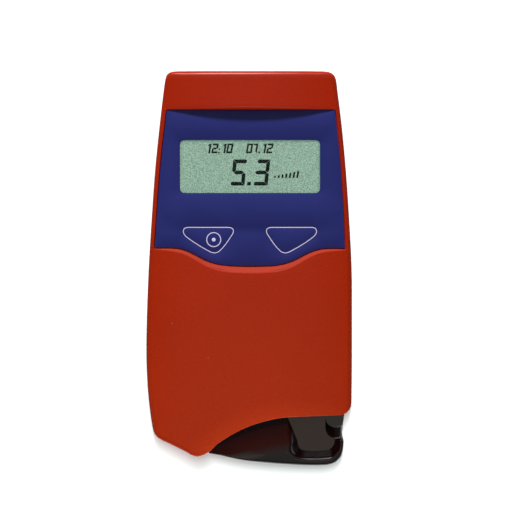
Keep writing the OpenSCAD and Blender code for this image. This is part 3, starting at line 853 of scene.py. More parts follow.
def make_rear():
    shell = boolean(rear_solid("rear_outer"), rear_solid("ri", 1.7), "DIFFERENCE")
    inner = boolean(copy_node("rear_housing", "rs"), rear_solid("rj", 0.7), "INTERSECT")
    shell = boolean(shell, inner, "UNION")
    shell = boolean(shell, slot_cutter(), "DIFFERENCE")
    shell = boolean(shell, flared_prism("bay", box_loop(-28.52, -9.02, 28.52, 50.02, 0.5), FLOOR_Z, 18.61, 0.3), "DIFFERENCE")
    shell = boolean(shell, lathe("hinge", [(0, -29.62), (0.86, -29.62), (0.86, 29.62), (0, 29.62)], (0, -7.6, 2.2), "X", 32), "DIFFERENCE")
    for x, y in SCREWS:
        shell = boolean(shell, lathe("cb", flare_profile(2.82, FLOOR_Z, 5.22, 0.35), (x, y, 0), n=40), "DIFFERENCE")
        shell = boolean(shell, lathe("cs", round_profile(1.56, 0, 21), (x, y, 0), n=32), "DIFFERENCE")
    for x, y in FEET:
        shell = boolean(shell, lathe("ft", flare_profile(4.03, FLOOR_Z, 3.02, 0.25), (x, y, 0), n=56), "DIFFERENCE")
    # finger dent beside the cover's latch
    shell = boolean(shell, dent("dent", 0.0, 58.5, FLOOR_Z, 4.7, 1.9), "DIFFERENCE")
    shell.name = shell.data.name = "rear_shell"
    return tidy(shell)


def dent(name, x, y, z, r, depth, e=0.5):
    """Cutter for a shallow dish in a face that looks down at z."""
    prof = [(0, z - 1), (r + e, z - 1), (r + e, z - 0.0001)]
    prof += [(r + e * (1 - s), z + 0.18 * s * s) for s in (0.33, 0.66, 1.0)]
    for a in np.linspace(0.12, 1, 9):
        prof.append((r * math.cos(a * math.pi / 2), z + 0.18 + (depth - 0.18) * math.sin(a * math.pi / 2)))
    prof[-1] = (0, z + depth)
    return lathe(name, prof, (x, y, 0), n=56)


# ---------------------------------------------------------------- materials
def nodes_of(name):
    m = bpy.data.materials.new(name)
    m.use_nodes = True
    nt = m.node_tree
    bsdf = next(n for n in nt.nodes if n.type == "BSDF_PRINCIPLED")
    return m, nt, bsdf


def tex_coord(nt):
    n = nt.nodes.new("ShaderNodeTexCoord")
    return n.outputs["Object"]


def noise(nt, scale, detail=4.0, rough=0.55, dist=0.0, vec=None, stretch=None):
    n = nt.nodes.new("ShaderNodeTexNoise")
    n.inputs["Scale"].default_value = scale
    n.inputs["Detail"].default_value = detail
    n.inputs["Roughness"].default_value = rough
    n.inputs["Distortion"].default_value = dist
    src = vec or tex_coord(nt)
    if stretch:
        mp = nt.nodes.new("ShaderNodeMapping")
        mp.inputs["Scale"].default_value = stretch
        nt.links.new(src, mp.inputs["Vector"])
        src = mp.outputs["Vector"]
    nt.links.new(src, n.inputs["Vector"])
    return n.outputs["Fac"]


def ramp_node(nt, fac, stops):
    r = nt.nodes.new("ShaderNodeValToRGB")
    el = r.color_ramp.elements
    while len(el) < len(stops):
        el.new(0.5)
    for e, (p, c) in zip(el, stops):
        e.position = p
        e.color = (*c, 1)
    nt.links.new(fac, r.inputs["Fac"])
    return r.outputs["Color"]


def map_range(nt, fac, lo, hi, a=0.3, b=0.7):
    r = nt.nodes.new("ShaderNodeMapRange")
    r.inputs["From Min"].default_value, r.inputs["From Max"].default_value = a, b
    r.inputs["To Min"].default_value, r.inputs["To Max"].default_value = lo, hi
    nt.links.new(fac, r.inputs["Value"])
    return r.outputs["Result"]


def bump(nt, bsdf, height, dist, strength=1.0, prev=None):
    b = nt.nodes.new("ShaderNodeBump")
    b.inputs["Strength"].default_value = strength
    b.inputs["Distance"].default_value = dist
    nt.links.new(height, b.inputs["Height"])
    if prev is not None:
        nt.links.new(prev, b.inputs["Normal"])
    nt.links.new(b.outputs["Normal"], bsdf.inputs["Normal"])
    return b.outputs["Normal"]


def srgb(*c):
    return tuple(((v / 255 + 0.055) / 1.055) ** 2.4 if v > 10.3 else v / 255 / 12.92 for v in c)


def mul(c, k):
    return tuple(min(1, v * k) for v in c)


def plastic(name, color, rough=0.4, var=0.06, grain=2600, grain_depth=0.00001, cloud=60, coat=0.0, spec=0.5, metallic=0.0, rough_var=0.06):
    """Moulded plastic or painted metal: fine texture, faint clouding and uneven gloss."""
    m, nt, b = nodes_of(name)
    vec = tex_coord(nt)
    big = noise(nt, cloud, 3, vec=vec)
    fine = noise(nt, grain, 2, 0.6, vec=vec)
    col = ramp_node(nt, big, [(0.3, mul(color, 1 - var)), (0.7, mul(color, 1 + var))])
    mix = nt.nodes.new("ShaderNodeMix")
    mix.data_type, mix.blend_type = "RGBA", "MULTIPLY"
    mix.inputs["Factor"].default_value = 0.35
    nt.links.new(col, mix.inputs[6])
    nt.links.new(ramp_node(nt, fine, [(0.25, (0.8, 0.8, 0.8)), (0.75, (1, 1, 1))]), mix.inputs[7])
    nt.links.new(mix.outputs[2], b.inputs["Base Color"])
    nt.links.new(map_range(nt, noise(nt, 220, 4, vec=vec), rough - rough_var, rough + rough_var), b.inputs["Roughness"])
    b.inputs["Specular IOR Level"].default_value = spec
    b.inputs["Metallic"].default_value = metallic
    if coat:
        b.inputs["Coat Weight"].default_value = coat
        b.inputs["Coat Roughness"].default_value = 0.08
    if grain_depth:
        bump(nt, b, fine, grain_depth)
    return m


def red_plastic(name):
    """Satin moulded case: fine spark-eroded texture, faint specks of dust, rubbed glossier faces, and painted light: a
    fill gradient along its length, a paler lip wall and a lighter band along the scooped edge.
    """
    m, nt, b = nodes_of(name)
    vec = tex_coord(nt)
    cloud = noise(nt, 34, 4, 0.55, vec=vec)
    xyz = nt.nodes.new("ShaderNodeSeparateXYZ")
    nt.links.new(vec, xyz.inputs[0])
    # painted fill light: the red is painted lighter and more orange towards the scooped lower end and darker towards
    # the top end
    along = map_range(nt, xyz.outputs["Y"], 0.0, 1.0, -0.08, 0.08)
    painted_fill_gradient = ramp_node(nt, along, [(0.0, (0.312, 0.0212, 0.0030)), (0.45, (0.306, 0.0172, 0.0029)), (1.0, (0.296, 0.0145, 0.0028))])
    tone = nt.nodes.new("ShaderNodeMix")
    tone.data_type, tone.blend_type = "RGBA", "MULTIPLY"
    tone.inputs["Factor"].default_value = 1.0
    nt.links.new(painted_fill_gradient, tone.inputs[6])
    nt.links.new(ramp_node(nt, cloud, [(0.32, (0.965, 0.965, 0.965)), (0.68, (1.03, 1.03, 1.03))]), tone.inputs[7])
    col = tone.outputs[2]
    fine = noise(nt, 1900, 3, 0.65, vec=vec)
    mix = nt.nodes.new("ShaderNodeMix")
    mix.data_type, mix.blend_type = "RGBA", "MULTIPLY"
    mix.inputs["Factor"].default_value = 1.0
    nt.links.new(col, mix.inputs[6])
    nt.links.new(ramp_node(nt, fine, [(0.34, (0.85, 0.83, 0.83)), (0.66, (1.03, 1.04, 1.04))]), mix.inputs[7])
    # few pale specks of dust and rubbed grain
    v = nt.nodes.new("ShaderNodeTexVoronoi")
    v.inputs["Scale"].default_value = 95
    v.inputs["Randomness"].default_value = 1.0
    nt.links.new(vec, v.inputs["Vector"])
    speck = nt.nodes.new("ShaderNodeMapRange")
    speck.inputs["From Min"].default_value, speck.inputs["From Max"].default_value = 0.030, 0.012
    speck.inputs["To Min"].default_value, speck.inputs["To Max"].default_value = 0.0, 0.30
    nt.links.new(v.outputs["Distance"], speck.inputs["Value"])
    mix2 = nt.nodes.new("ShaderNodeMix")
    mix2.data_type = "RGBA"
    mix2.inputs[7].default_value = (0.62, 0.20, 0.13, 1)
    nt.links.new(speck.outputs["Result"], mix2.inputs[0])
    nt.links.new(mix.outputs[2], mix2.inputs[6])
    nt.links.new(mix2.outputs[2], b.inputs["Base Color"])
    b.inputs["Roughness"].default_value = 0.8
    nt.links.new(map_range(nt, noise(nt, 130, 5, 0.6, vec=vec), 0.30, 0.38), b.inputs["Coat Roughness"])
    b.inputs["Specular IOR Level"].default_value = 0.0
    # height over the crowned face, which is constant on it
    def calc(op, p, q):
        n = nt.nodes.new("ShaderNodeMath")
        n.operation = op
        for i, v in enumerate((p, q)):
            if isinstance(v, (int, float)):
                n.inputs[i].default_value = v
            else:
                nt.links.new(v, n.inputs[i])
        return n.outputs[0]

    side = calc("SUBTRACT", xyz.outputs["X"], 0.0005)
    h = calc("ADD", xyz.outputs["Z"], calc("MULTIPLY", calc("MULTIPLY", side, side), 1 / 0.370))
    h = calc("ADD", h, calc("MULTIPLY", calc("ADD", xyz.outputs["Y"], 0.063), 0.01693))
    here = calc("MULTIPLY", map_range(nt, xyz.outputs["Y"], 1.0, 0.0, 0.0098, 0.0125), map_range(nt, xyz.outputs["Y"], 0.0, 1.0, -0.008, -0.005))
    here = calc("MULTIPLY", here, map_range(nt, calc("ABSOLUTE", side, 0.0), 1.0, 0.0, 0.0390, 0.0393))
    here = calc("MULTIPLY", here, map_range(nt, xyz.outputs["Z"], 0.0, 1.0, 0.0345, 0.0350))
    # painted sheen: the wall below the panel, which faces the light, is painted paler and pinker, and no gloss lies
    # along its crest
    pale = calc("MULTIPLY", here, map_range(nt, h, 1.0, 0.0, 0.04268, 0.04286))
    crest = calc("MULTIPLY", here, map_range(nt, h, 1.0, 0.0, 0.04288, 0.04296))
    mix3 = nt.nodes.new("ShaderNodeMix")
    mix3.data_type = "RGBA"
    mix3.inputs[7].default_value = (0.295, 0.0310, 0.0178, 1)
    nt.links.new(pale, mix3.inputs[0])
    nt.links.new(mix2.outputs[2], mix3.inputs[6])
    # painted light: a warmer, lighter band along the scooped edge, painted palest at the edge itself
    dx = calc("SUBTRACT", xyz.outputs["X"], 0.018)
    dy = calc("ADD", xyz.outputs["Y"], 0.1091)
    reach = calc("SQRT", calc("ADD", calc("MULTIPLY", dx, dx), calc("MULTIPLY", dy, dy)), 0.0)
    reach = map_range(nt, reach, 0.0, 1.0, 0.0490, 0.0570)
    scoop_painted_light = nt.nodes.new("ShaderNodeMix")
    scoop_painted_light.data_type, scoop_painted_light.blend_type = "RGBA", "MULTIPLY"
    nt.links.new(map_range(nt, xyz.outputs["Z"], 0.0, 1.0, 0.0310, 0.0345), scoop_painted_light.inputs[0])
    nt.links.new(mix3.outputs[2], scoop_painted_light.inputs[6])
    nt.links.new(ramp_node(nt, reach, [(0.0, (1.40, 1.90, 1.90)), (0.09, (1.20, 1.46, 1.36)), (0.35, (1.11, 1.24, 1.18)), (1.0, (1.0, 1.0, 1.0))]), scoop_painted_light.inputs[7])
    nt.links.new(scoop_painted_light.outputs[2], b.inputs["Base Color"])
    # the handled faces are rubbed glossier than the side walls, most of all at the top end
    flat = map_range(nt, xyz.outputs["Z"], 0.025, 0.19, 0.0370, 0.0405)
    flat = calc("MULTIPLY", flat, calc("SUBTRACT", 1.0, crest))
    end = map_range(nt, xyz.outputs["Y"], 0.0, 1.0, 0.0762, 0.0785)
    dull = calc("MULTIPLY", end, map_range(nt, h, 1.0, 0.0, 0.04215, 0.04245))
    gloss = calc("ADD", flat, calc("MULTIPLY", end, 0.40))
    nt.links.new(calc("MULTIPLY", gloss, calc("SUBTRACT", 1.0, dull)), b.inputs["Coat Weight"])
    b.inputs["Sheen Weight"].default_value = 0.0
    b.inputs["Sheen Roughness"].default_value = 0.40
    b.inputs["Sheen Tint"].default_value = (1.0, 0.72, 0.6, 1)
    n = bump(nt, b, fine, 0.000012, 0.8)
    nt.links.new(n, b.inputs["Coat Normal"])
    return m


def blue_film(name):
    """Matt overlay film with its fine print texture."""
    m, nt, b = nodes_of(name)
    vec = tex_coord(nt)
    color = (0.0152, 0.0205, 0.138)
    big = noise(nt, 45, 3, vec=vec)
    col = ramp_node(nt, big, [(0.3, mul(color, 0.96)), (0.7, mul(color, 1.04))])
    fine = noise(nt, 3600, 2, 0.6, vec=vec)
    mix = nt.nodes.new("ShaderNodeMix")
    mix.data_type, mix.blend_type = "RGBA", "MULTIPLY"
    mix.inputs["Factor"].default_value = 1.0
    nt.links.new(col, mix.inputs[6])
    nt.links.new(ramp_node(nt, fine, [(0.3, (0.92, 0.92, 0.94)), (0.7, (1, 1, 1))]), mix.inputs[7])
    nt.links.new(mix.outputs[2], b.inputs["Base Color"])
    b.inputs["Roughness"].default_value = 0.8
    nt.links.new(map_range(nt, noise(nt, 160, 4, vec=vec), 0.36, 0.46), b.inputs["Coat Roughness"])
    b.inputs["Specular IOR Level"].default_value = 0.0
    b.inputs["Coat Weight"].default_value = 0.25
    bump(nt, b, fine, 0.000006, 0.7)
    return m


def arm_gloss(name):
    m, nt, b = nodes_of(name)
    vec = tex_coord(nt)
    big = noise(nt, 50, 3, vec=vec)
    nt.links.new(ramp_node(nt, big, [(0.3, (0.0088, 0.0050, 0.0071)), (0.7, (0.0116, 0.0060, 0.0083))]), b.inputs["Base Color"])
    # the dish, below the pad's level and right of x 14 mm, gets a browner base colour
    xyz = nt.nodes.new("ShaderNodeSeparateXYZ")
    nt.links.new(vec, xyz.inputs[0])
    f = nt.nodes.new("ShaderNodeMath")
    f.operation = "MULTIPLY"
    nt.links.new(map_range(nt, xyz.outputs["Z"], 1.0, 0.0, 0.02205, 0.02235), f.inputs[0])
    g = nt.nodes.new("ShaderNodeMath")
    g.operation = "MULTIPLY"
    nt.links.new(map_range(nt, xyz.outputs["X"], 0.0, 1.0, 0.0140, 0.0150), g.inputs[0])
    nt.links.new(map_range(nt, xyz.outputs["Z"], 0.0, 1.0, 0.0212, 0.0217), g.inputs[1])
    nt.links.new(g.outputs[0], f.inputs[1])
    mix = nt.nodes.new("ShaderNodeMix")
    mix.data_type = "RGBA"
    mix.inputs[7].default_value = (0.0215, 0.0090, 0.0055, 1)
    nt.links.new(f.outputs[0], mix.inputs[0])
    nt.links.new(b.inputs["Base Color"].links[0].from_socket, mix.inputs[6])
    nt.links.new(mix.outputs[2], b.inputs["Base Color"])
    scuff = noise(nt, 900, 5, 0.7, vec=vec, stretch=(1, 6, 1))
    nt.links.new(map_range(nt, scuff, 0.16, 0.25, 0.35, 0.75), b.inputs["Roughness"])
    # the rising end of the finger channel is left as moulded, and dull
    rough = map_range(nt, xyz.outputs["Z"], 0.0, 1.0, 0.01942, 0.01950)
    for axis, lo, hi, a, c in (("Z", 1.0, 0.0, 0.02192, 0.02198), ("X", 0.0, 1.0, 0.0300, 0.0305), ("X", 1.0, 0.0, 0.0372, 0.0376), ("Y", 1.0, 0.0, -0.0600, -0.0590)):
        n = nt.nodes.new("ShaderNodeMath")
        n.operation = "MULTIPLY"
        nt.links.new(rough, n.inputs[0])
        nt.links.new(map_range(nt, xyz.outputs[axis], lo, hi, a, c), n.inputs[1])
        rough = n.outputs[0]
    nt.links.new(map_range(nt, rough, 0.43, 0.01, 0.0, 1.0), b.inputs["Specular IOR Level"])
    bump(nt, b, noise(nt, 260, 3, vec=vec), 0.000012, 0.5)
    return m


def lcd_green(name):
    """Reflective display: grey-green with fine mottling."""
    m, nt, b = nodes_of(name)
    vec = tex_coord(nt)
    n1 = noise(nt, 2700, 0, 0.5, vec=vec)
    n2 = noise(nt, 420, 2, 0.5, vec=vec)
    c = (0.285, 0.455, 0.356)
    mix = nt.nodes.new("ShaderNodeMix")
    mix.data_type, mix.blend_type = "RGBA", "MULTIPLY"
    mix.inputs["Factor"].default_value = 1.0
    nt.links.new(ramp_node(nt, n1, [(0.36, mul(c, 0.69)), (0.64, mul(c, 1.31))]), mix.inputs[6])
    nt.links.new(ramp_node(nt, n2, [(0.3, (0.985, 0.985, 0.985)), (0.7, (1, 1, 1))]), mix.inputs[7])
    # the bezel keeps light from the upper and right edges
    xyz = nt.nodes.new("ShaderNodeSeparateXYZ")
    nt.links.new(vec, xyz.inputs[0])
    last = mix.outputs[2]
    for axis, edge, wide_, tint in (("Y", 0.05155, 0.0011, (0.50, 0.60, 0.66)), ("X", 0.02855, 0.0008, (0.62, 0.70, 0.74))):
        f = map_range(nt, xyz.outputs[axis], 0.0, 1.0, edge - wide_, edge)
        m2 = nt.nodes.new("ShaderNodeMix")
        m2.data_type, m2.blend_type = "RGBA", "MULTIPLY"
        m2.inputs["Factor"].default_value = 1.0
        nt.links.new(last, m2.inputs[6])
        nt.links.new(ramp_node(nt, f, [(0.0, (1, 1, 1)), (1.0, tint)]), m2.inputs[7])
        last = m2.outputs[2]
    nt.links.new(last, b.inputs["Base Color"])
    nt.links.new(map_range(nt, n2, 0.35, 0.45), b.inputs["Roughness"])
    b.inputs["Specular IOR Level"].default_value = 0.3
    return m


def clear_window(name, alpha=0.08, tint=(0.025, 0.035, 0.032), rough=0.06):
    m, nt, b = nodes_of(name)
    vec = tex_coord(nt)
    nt.links.new(ramp_node(nt, noise(nt, 300, 3, vec=vec), [(0.3, mul(tint, 0.94)), (0.7, mul(tint, 1.05))]), b.inputs["Base Color"])
    nt.links.new(map_range(nt, noise(nt, 700, 4, vec=vec), rough - 0.02, rough + 0.05), b.inputs["Roughness"])
    b.inputs["IOR"].default_value = 1.6
    b.inputs["Alpha"].default_value = alpha
    return m


def metal(name, color, rough=0.28, aniso=0.0, scale=1400):
    m, nt, b = nodes_of(name)
    vec = tex_coord(nt)
    n = noise(nt, scale, 4, 0.6, vec=vec)
    nt.links.new(ramp_node(nt, n, [(0.3, mul(color, 0.88)), (0.7, mul(color, 1.06))]), b.inputs["Base Color"])
    nt.links.new(map_range(nt, noise(nt, scale * 0.4, 4, vec=vec), rough - 0.08, rough + 0.1), b.inputs["Roughness"])
    b.inputs["Metallic"].default_value = 1.0
    bump(nt, b, n, 0.000006, 0.5)
    return m


def board_green(name):
    """Solder resist over copper tracks."""
    m, nt, b = nodes_of(name)
    vec = tex_coord(nt)
    w = nt.nodes.new("ShaderNodeTexBrick")
    w.inputs["Scale"].default_value = 260
    w.inputs["Mortar Size"].default_value = 0.035
    w.inputs["Color1"].default_value = (0.010, 0.085, 0.035, 1)
    w.inputs["Color2"].default_value = (0.012, 0.100, 0.040, 1)
    w.inputs["Mortar"].default_value = (0.035, 0.190, 0.075, 1)
    nt.links.new(vec, w.inputs["Vector"])
    nt.links.new(w.outputs["Color"], b.inputs["Base Color"])
    nt.links.new(map_range(nt, noise(nt, 300, 3, vec=vec), 0.28, 0.42), b.inputs["Roughness"])
    b.inputs["Specular IOR Level"].default_value = 0.5
    bump(nt, b, w.outputs["Fac"], -0.00003, 0.6)
    return m


def cell_sleeve(name):
    """Printed sleeve of a cell: dark with a copper-coloured band at the plus end, by place along X."""
    m, nt, b = nodes_of(name)
    vec = tex_coord(nt)
    s = nt.nodes.new("ShaderNodeSeparateXYZ")
    nt.links.new(vec, s.inputs[0])
    f = map_range(nt, s.outputs["X"], 0, 1, -0.0285, 0.0285)
    col = ramp_node(nt, f, [(0.0, (0.10, 0.10, 0.11)), (0.5, (0.05, 0.05, 0.055)), (1.0, (0.30, 0.17, 0.06))])
    nt.links.new(col, b.inputs["Base Color"])
    nt.links.new(map_range(nt, noise(nt, 500, 3, vec=vec), 0.22, 0.34), b.inputs["Roughness"])
    b.inputs["Metallic"].default_value = 0.35
    return m


MAT = {
    "case_red": red_plastic("case_red"),
    "panel_blue": blue_film("panel_blue"),
    "display_window": clear_window("display_window"),
    "display_glass": lcd_green("display_glass"),
    "white_plastic": plastic("white_plastic", (0.72, 0.72, 0.68), 0.38),
    "elastomer": plastic("elastomer", (0.52, 0.20, 0.24), 0.6, grain=1800),
    "black_plastic": plastic("black_plastic", (0.018, 0.018, 0.020), 0.42),
    "tinned_metal": metal("tinned_metal", (0.62, 0.62, 0.64), 0.32),
    "circuit_board": board_green("circuit_board"),
    "nickel": metal("nickel", (0.72, 0.70, 0.66), 0.22),
    "led_resin": plastic("led_resin", (0.65, 0.52, 0.20), 0.18, coat=0.5),
    "clear_glass": clear_window("clear_glass", 0.3, (0.5, 0.6, 0.62), 0.05),
    "steel": metal("steel", (0.56, 0.56, 0.58), 0.26),
    "bush_metal": metal("bush_metal", (0.62, 0.46, 0.20), 0.3),
    "arm_black": arm_gloss("arm_black"),
    "cell_wrap": cell_sleeve("cell_wrap"),
    "rubber": plastic("rubber", (0.020, 0.020, 0.021), 0.72, var=0.1, grain=1500, grain_depth=0.00003),
}
INK = plastic("print_ink", srgb(208, 202, 232), 0.5, var=0.04, grain=3200, grain_depth=0.000004)
DARK = plastic("display_dark", (0.0015, 0.0080, 0.0060), 0.6, var=0.1, grain=3000, grain_depth=0.0, spec=0.0)
SLOT_OF = {r["node"]: r["material_slot"] for r in frame["record"]["subparts"]}


def finish_piece(o, body, mat, replaces=(), shade=True):
    o.data.materials.clear()
    o.data.materials.append(mat)
    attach(o, body)
    if replaces:
        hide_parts(*replaces)
    return o


# ---------------------------------------------------------------- the case
finish_piece(make_front(), "case", MAT["case_red"], ["front_housing"])
finish_piece(make_rear(), "case", MAT["case_red"], ["rear_housing"])

# ---------------------------------------------------------------- overlay, window and keys
x, y, w, h = WIN
overlay = soft_plate("overlay_film", inset(Q, Q_GAP), [box_loop(x - w / 2, y - h / 2, x + w / 2, y + h / 2, 1.9, 8)]
                     + [key_loop(m, 0.35) for m in (-1, 1)], SLAB_Z, FACE_Z, 0.12)
finish_piece(tidy(overlay), "case", MAT["panel_blue"], ["panel_overlay"])

lens = soft_plate("window_lens", box_loop(x - w / 2 + 0.1, y - h / 2 + 0.1, x + w / 2 - 0.1, y + h / 2 - 0.1, 1.8, 8), [], SLAB_Z - 0.05, FACE_Z - 0.1, 0.15)
foot = soft_plate("lf", box_loop(x - w / 2 - 1.6, y - h / 2 - 1.6, x + w / 2 + 1.6, y + h / 2 + 1.6, 2.0, 6), [], SLAB_Z - 0.6, SLAB_Z - 0.01, 0.1)
lens = boolean(lens, foot, "UNION")
finish_piece(tidy(lens), "case", MAT["display_window"], ["display_lens"])

for m, node, body, name in ((-1, "power_key", "power_button", "power_key_cap"), (1, "menu_key", "menu_button", "menu_key_cap")):
    cap = soft_plate(name, key_loop(m, 0.27), [], 36.95, FACE_Z, 0.1)
    cap = boolean(cap, soft_plate("kb", key_loop(m, -0.1), [], 36.4, 37.2, 0.05), "UNION")
    cap = boolean(cap, prism("kc", key_loop(m, -1.4), 36.3, 36.8), "DIFFERENCE")
    cap = boolean(cap, lathe("kd", round_profile(2, 35.1, 37.0, 0.2), (KEY_X + m * KEY_C[0], KEY_C[1], 0)), "UNION")
    finish_piece(tidy(cap), body, MAT["panel_blue"], [node])
    line = soft_plate(name + "_outline", key_loop(m, 0.14), [key_loop(m, -0.18)], FACE_Z - 0.03, FACE_Z + 0.035, 0.02)
    finish_piece(tidy(line), body, INK)
    if m < 0:
        c = (KEY_X - 14.57, 11.47)
        ring = soft_plate("power_key_ring", np.array(arc(c, 3.0, 0, 360, 64)[:-1]), [np.array(arc(c, 2.64, 0, 360, 64)[:-1])], FACE_Z - 0.03, FACE_Z + 0.035, 0.02)
        dot = lathe("power_key_dot", round_profile(0.76, FACE_Z - 0.03, FACE_Z + 0.035, 0, 0.02), (c[0], c[1], 0))
        finish_piece(tidy(ring), body, INK)
        finish_piece(tidy(dot), body, INK)

# ---------------------------------------------------------------- digits of the display
SEGS = {"0": "abcdef", "1": "bc", "2": "abged", "3": "abgcd", "4": "fgbc", "5": "afgcd", "6": "afgedc", "7": "abc", "8": "abcdefg", "9": "abcdfg"}


def digit(ch, x, y, w, h, t, slant, e, trim=None):
    """Seven-segment figure. x, y, w and h are for the middle lines of its strokes, and e is the gap.
    trim moves the left end of a bar that ends free."""
    k, m, v = t / 2, h / 2, h + t / 2
    on = SEGS[ch]
    trim = trim or {}

    def upright(s, other):
        if "g" in on:
            return [(-k, v - e), (k, v - t - e), (k, m + k + e * 0.6), (0, m + e), (-k, m + k * 0.8 + e)]
        if other in on:
            return [(-k, v - e), (k, v - t - e), (k, m + e / 2), (-k, m + e / 2)]
        return [(-k, v - e), (k, v - t - e), (k, m + k), (k * 0.4, m), (-k * 0.5, m)]

    def bar(y_out, y_in, left, right, d=0.0):
        c0, c1 = 0.78 * y_out + 0.22 * y_in, 0.22 * y_out + 0.78 * y_in
        a = [(-k + e, y_out), (k + e, y_in)] if left else [(-k * 0.45 + d, y_out), (-k * 0.95 + d, c0), (-k * 0.95 + d, c1), (-k * 0.35 + d, y_in)]
        c = [(w - k - e, y_in), (w + k - e, y_out)] if right else [(w + k * 0.35, y_in), (w + k * 0.95, c1), (w + k * 0.95, c0), (w + k * 0.45, y_out)]
        return a + c

    g0 = trim.get("g", 0.0)
    seg = {"a": bar(v, v - t, "f" in on, "b" in on, trim.get("a", 0.0)), "d": bar(-k, k, "e" in on, "c" in on, trim.get("d", 0.0)),
           "g": [(e + g0, m), (k + e + g0, m + k), (w - k - e, m + k), (w - e, m), (w - k - e, m - k), (k + e + g0, m - k)],
           "f": upright("f", "e"), "b": [(w - a, c) for a, c in upright("b", "c")],
           "e": [(a, h - c) for a, c in upright("e", "f")], "c": [(w - a, h - c) for a, c in upright("c", "b")]}
    return [[(x + px + slant * py, y + py) for px, py in seg[s]] for s in SEGS[ch]]


def one(x, y, h, t, slant):
    """Figure one in a single stroke with its flag."""
    k = t / 2
    pts = [(-k, -k), (k, -k), (k, h + k), (-k * 0.1, h + k), (-k - 0.5, h - k * 0.5), (-k - 0.4, h - k * 2.0), (-k, h - k * 1.5)]
    return [(x + px + slant * py, y + py) for px, py in pts]


def spot(x, y, w, h, slant=0.11):
    return [(x - w / 2 - slant * h / 2, y - h / 2), (x + w / 2 - slant * h / 2, y - h / 2),
            (x + w / 2 + slant * h / 2, y + h / 2), (x - w / 2 + slant * h / 2, y + h / 2)]


polys = []
SMALL_Y, SMALL_H, SMALL_T = 46.67, 3.2, 0.73
for ch, px in (("2", -14.8), ("0", -8.85), ("0", -0.9), ("7", 1.15), ("2", 7.3)):
    polys += digit(ch, px, SMALL_Y, 1.66, SMALL_H, SMALL_T, 0.17, 0.012, {"a": 0.55} if ch == "7" else None)
polys += [one(px, SMALL_Y, SMALL_H, SMALL_T, 0.17) for px in (-16.05, -9.95, 6.2)]
polys += [spot(-12.15, 46.65, 0.62, 0.62), spot(-11.95, 47.95, 0.62, 0.62), spot(4.05, 46.6, 0.7, 0.65)]
polys += digit("5", -6.65, 34.05, 4.1, 9.0, 1.5, 0.11, 0.06)
polys += digit("3", 2.7, 34.05, 4.1, 9.0, 1.5, 0.11, 0.06, {"a": 0.55, "g": -0.85})
polys.append(spot(0.0, 34.05, 1.5, 1.4))
# row of bars in the unit's place
for i in range(7):
    hh = 0.7 + 0.33 * i
    polys.append([(10.0 + i * 1.5, 36.4), (10.75 + i * 1.5, 36.4), (10.75 + i * 1.5 + 0.17 * hh, 36.4 + hh), (10.0 + i * 1.5 + 0.17 * hh, 36.4 + hh)])
b = Build()
for q in polys:
    q = ccw(q)
    lo, hi = b.ring(q, 36.19), b.ring(q, 36.235)
    b.strip(lo, hi)
    b.cap(lo[::-1])
    b.cap(hi)
segs = b.obj("display_figures", 1e-6)
finish_piece(segs, "case", DARK)

# ---------------------------------------------------------------- cuvette arm
ARM_EDGE = [(-16.5, -75.25), (-11.9, -76.05), (-7.8, -77.0), (-3.7, -77.85), (0.4, -78.5),
            (4.4, -78.95), (8.5, -79.34), (12.6, -79.66), (16.7, -79.93), (20.8, -80.15),
            (24.9, -80.27), (28.9, -80.27), (32.2, -80.02), (34.7, -79.25), (36.3, -78),
            (37.5, -76.4), (38.1, -74.3), (38.5, -70.3), (37.95, -67.6), (38.2, -65),
            (38.8, -60.4)]


DISH = resample(catmull([(15.4, -56.5), (15.9, -60.9), (17.9, -66), (19.6, -70.3), (20.0, -72.3), (20.8, -73.7), (22.2, -74.25),
                         (31.6, -74.25), (33.4, -73.5), (34.5, -72.0), (34.9, -70.2), (35.1, -68), (35.1, -56.5)], 0.3), 0.3)


def arm_height(x, y):
    """Top face of the arm: slope towards the case, and the dish beside the cuvette seat."""
    x, y = np.asarray(x, float), np.asarray(y, float)
    a = math.radians(5.7)
    d = (-(x + 5.75) * math.sin(a) + (y + 77.1) * math.cos(a))
    k = 0.02 + 1.1 * (1 - smooth01((x + 2) / 9))
    soft = k * np.logaddexp(0, d / k)
    out = np.clip(-d, 0, 5.5)
    base = 27.0 - 0.385 * soft - 0.2 * out * smooth01((x + 7) / 16)
    base = 21.0 + 0.12 * np.logaddexp(0, (base - 21.0) / 0.12)
    floor = DISH
    pts = np.column_stack([x.ravel(), y.ravel()])
    dist = seg_dist(pts, floor, True)
    dist[in_poly(pts, floor)] = 0
    dist = dist.reshape(x.shape)
    steep = 1 + 0.35 * smooth01((x - 33) / 3)
    dish = 22.0 + 5.0 * (dist * steep / 3.85) ** 1.1
    low = 22.0 + 1.3 * np.maximum(0, -67.0 - y) + 50 * (x < 33)
    dish = np.minimum(dish, low)
    high = np.maximum(base, 22.0)
    k = 1.4 * smooth01((high - 22.0) / 2.4) + 1e-3
    m = np.clip(0.5 + 0.5 * (dish - high) / k, 0, 1)
    top = dish * (1 - m) + high * m - k * m * (1 - m)
    # where the slope runs below the floor of the dish, the floor ends in a soft step
    step = base + (22.0 - base) * (1 - smooth01(dist / 1.1))
    return np.where(base < 22, step, top)


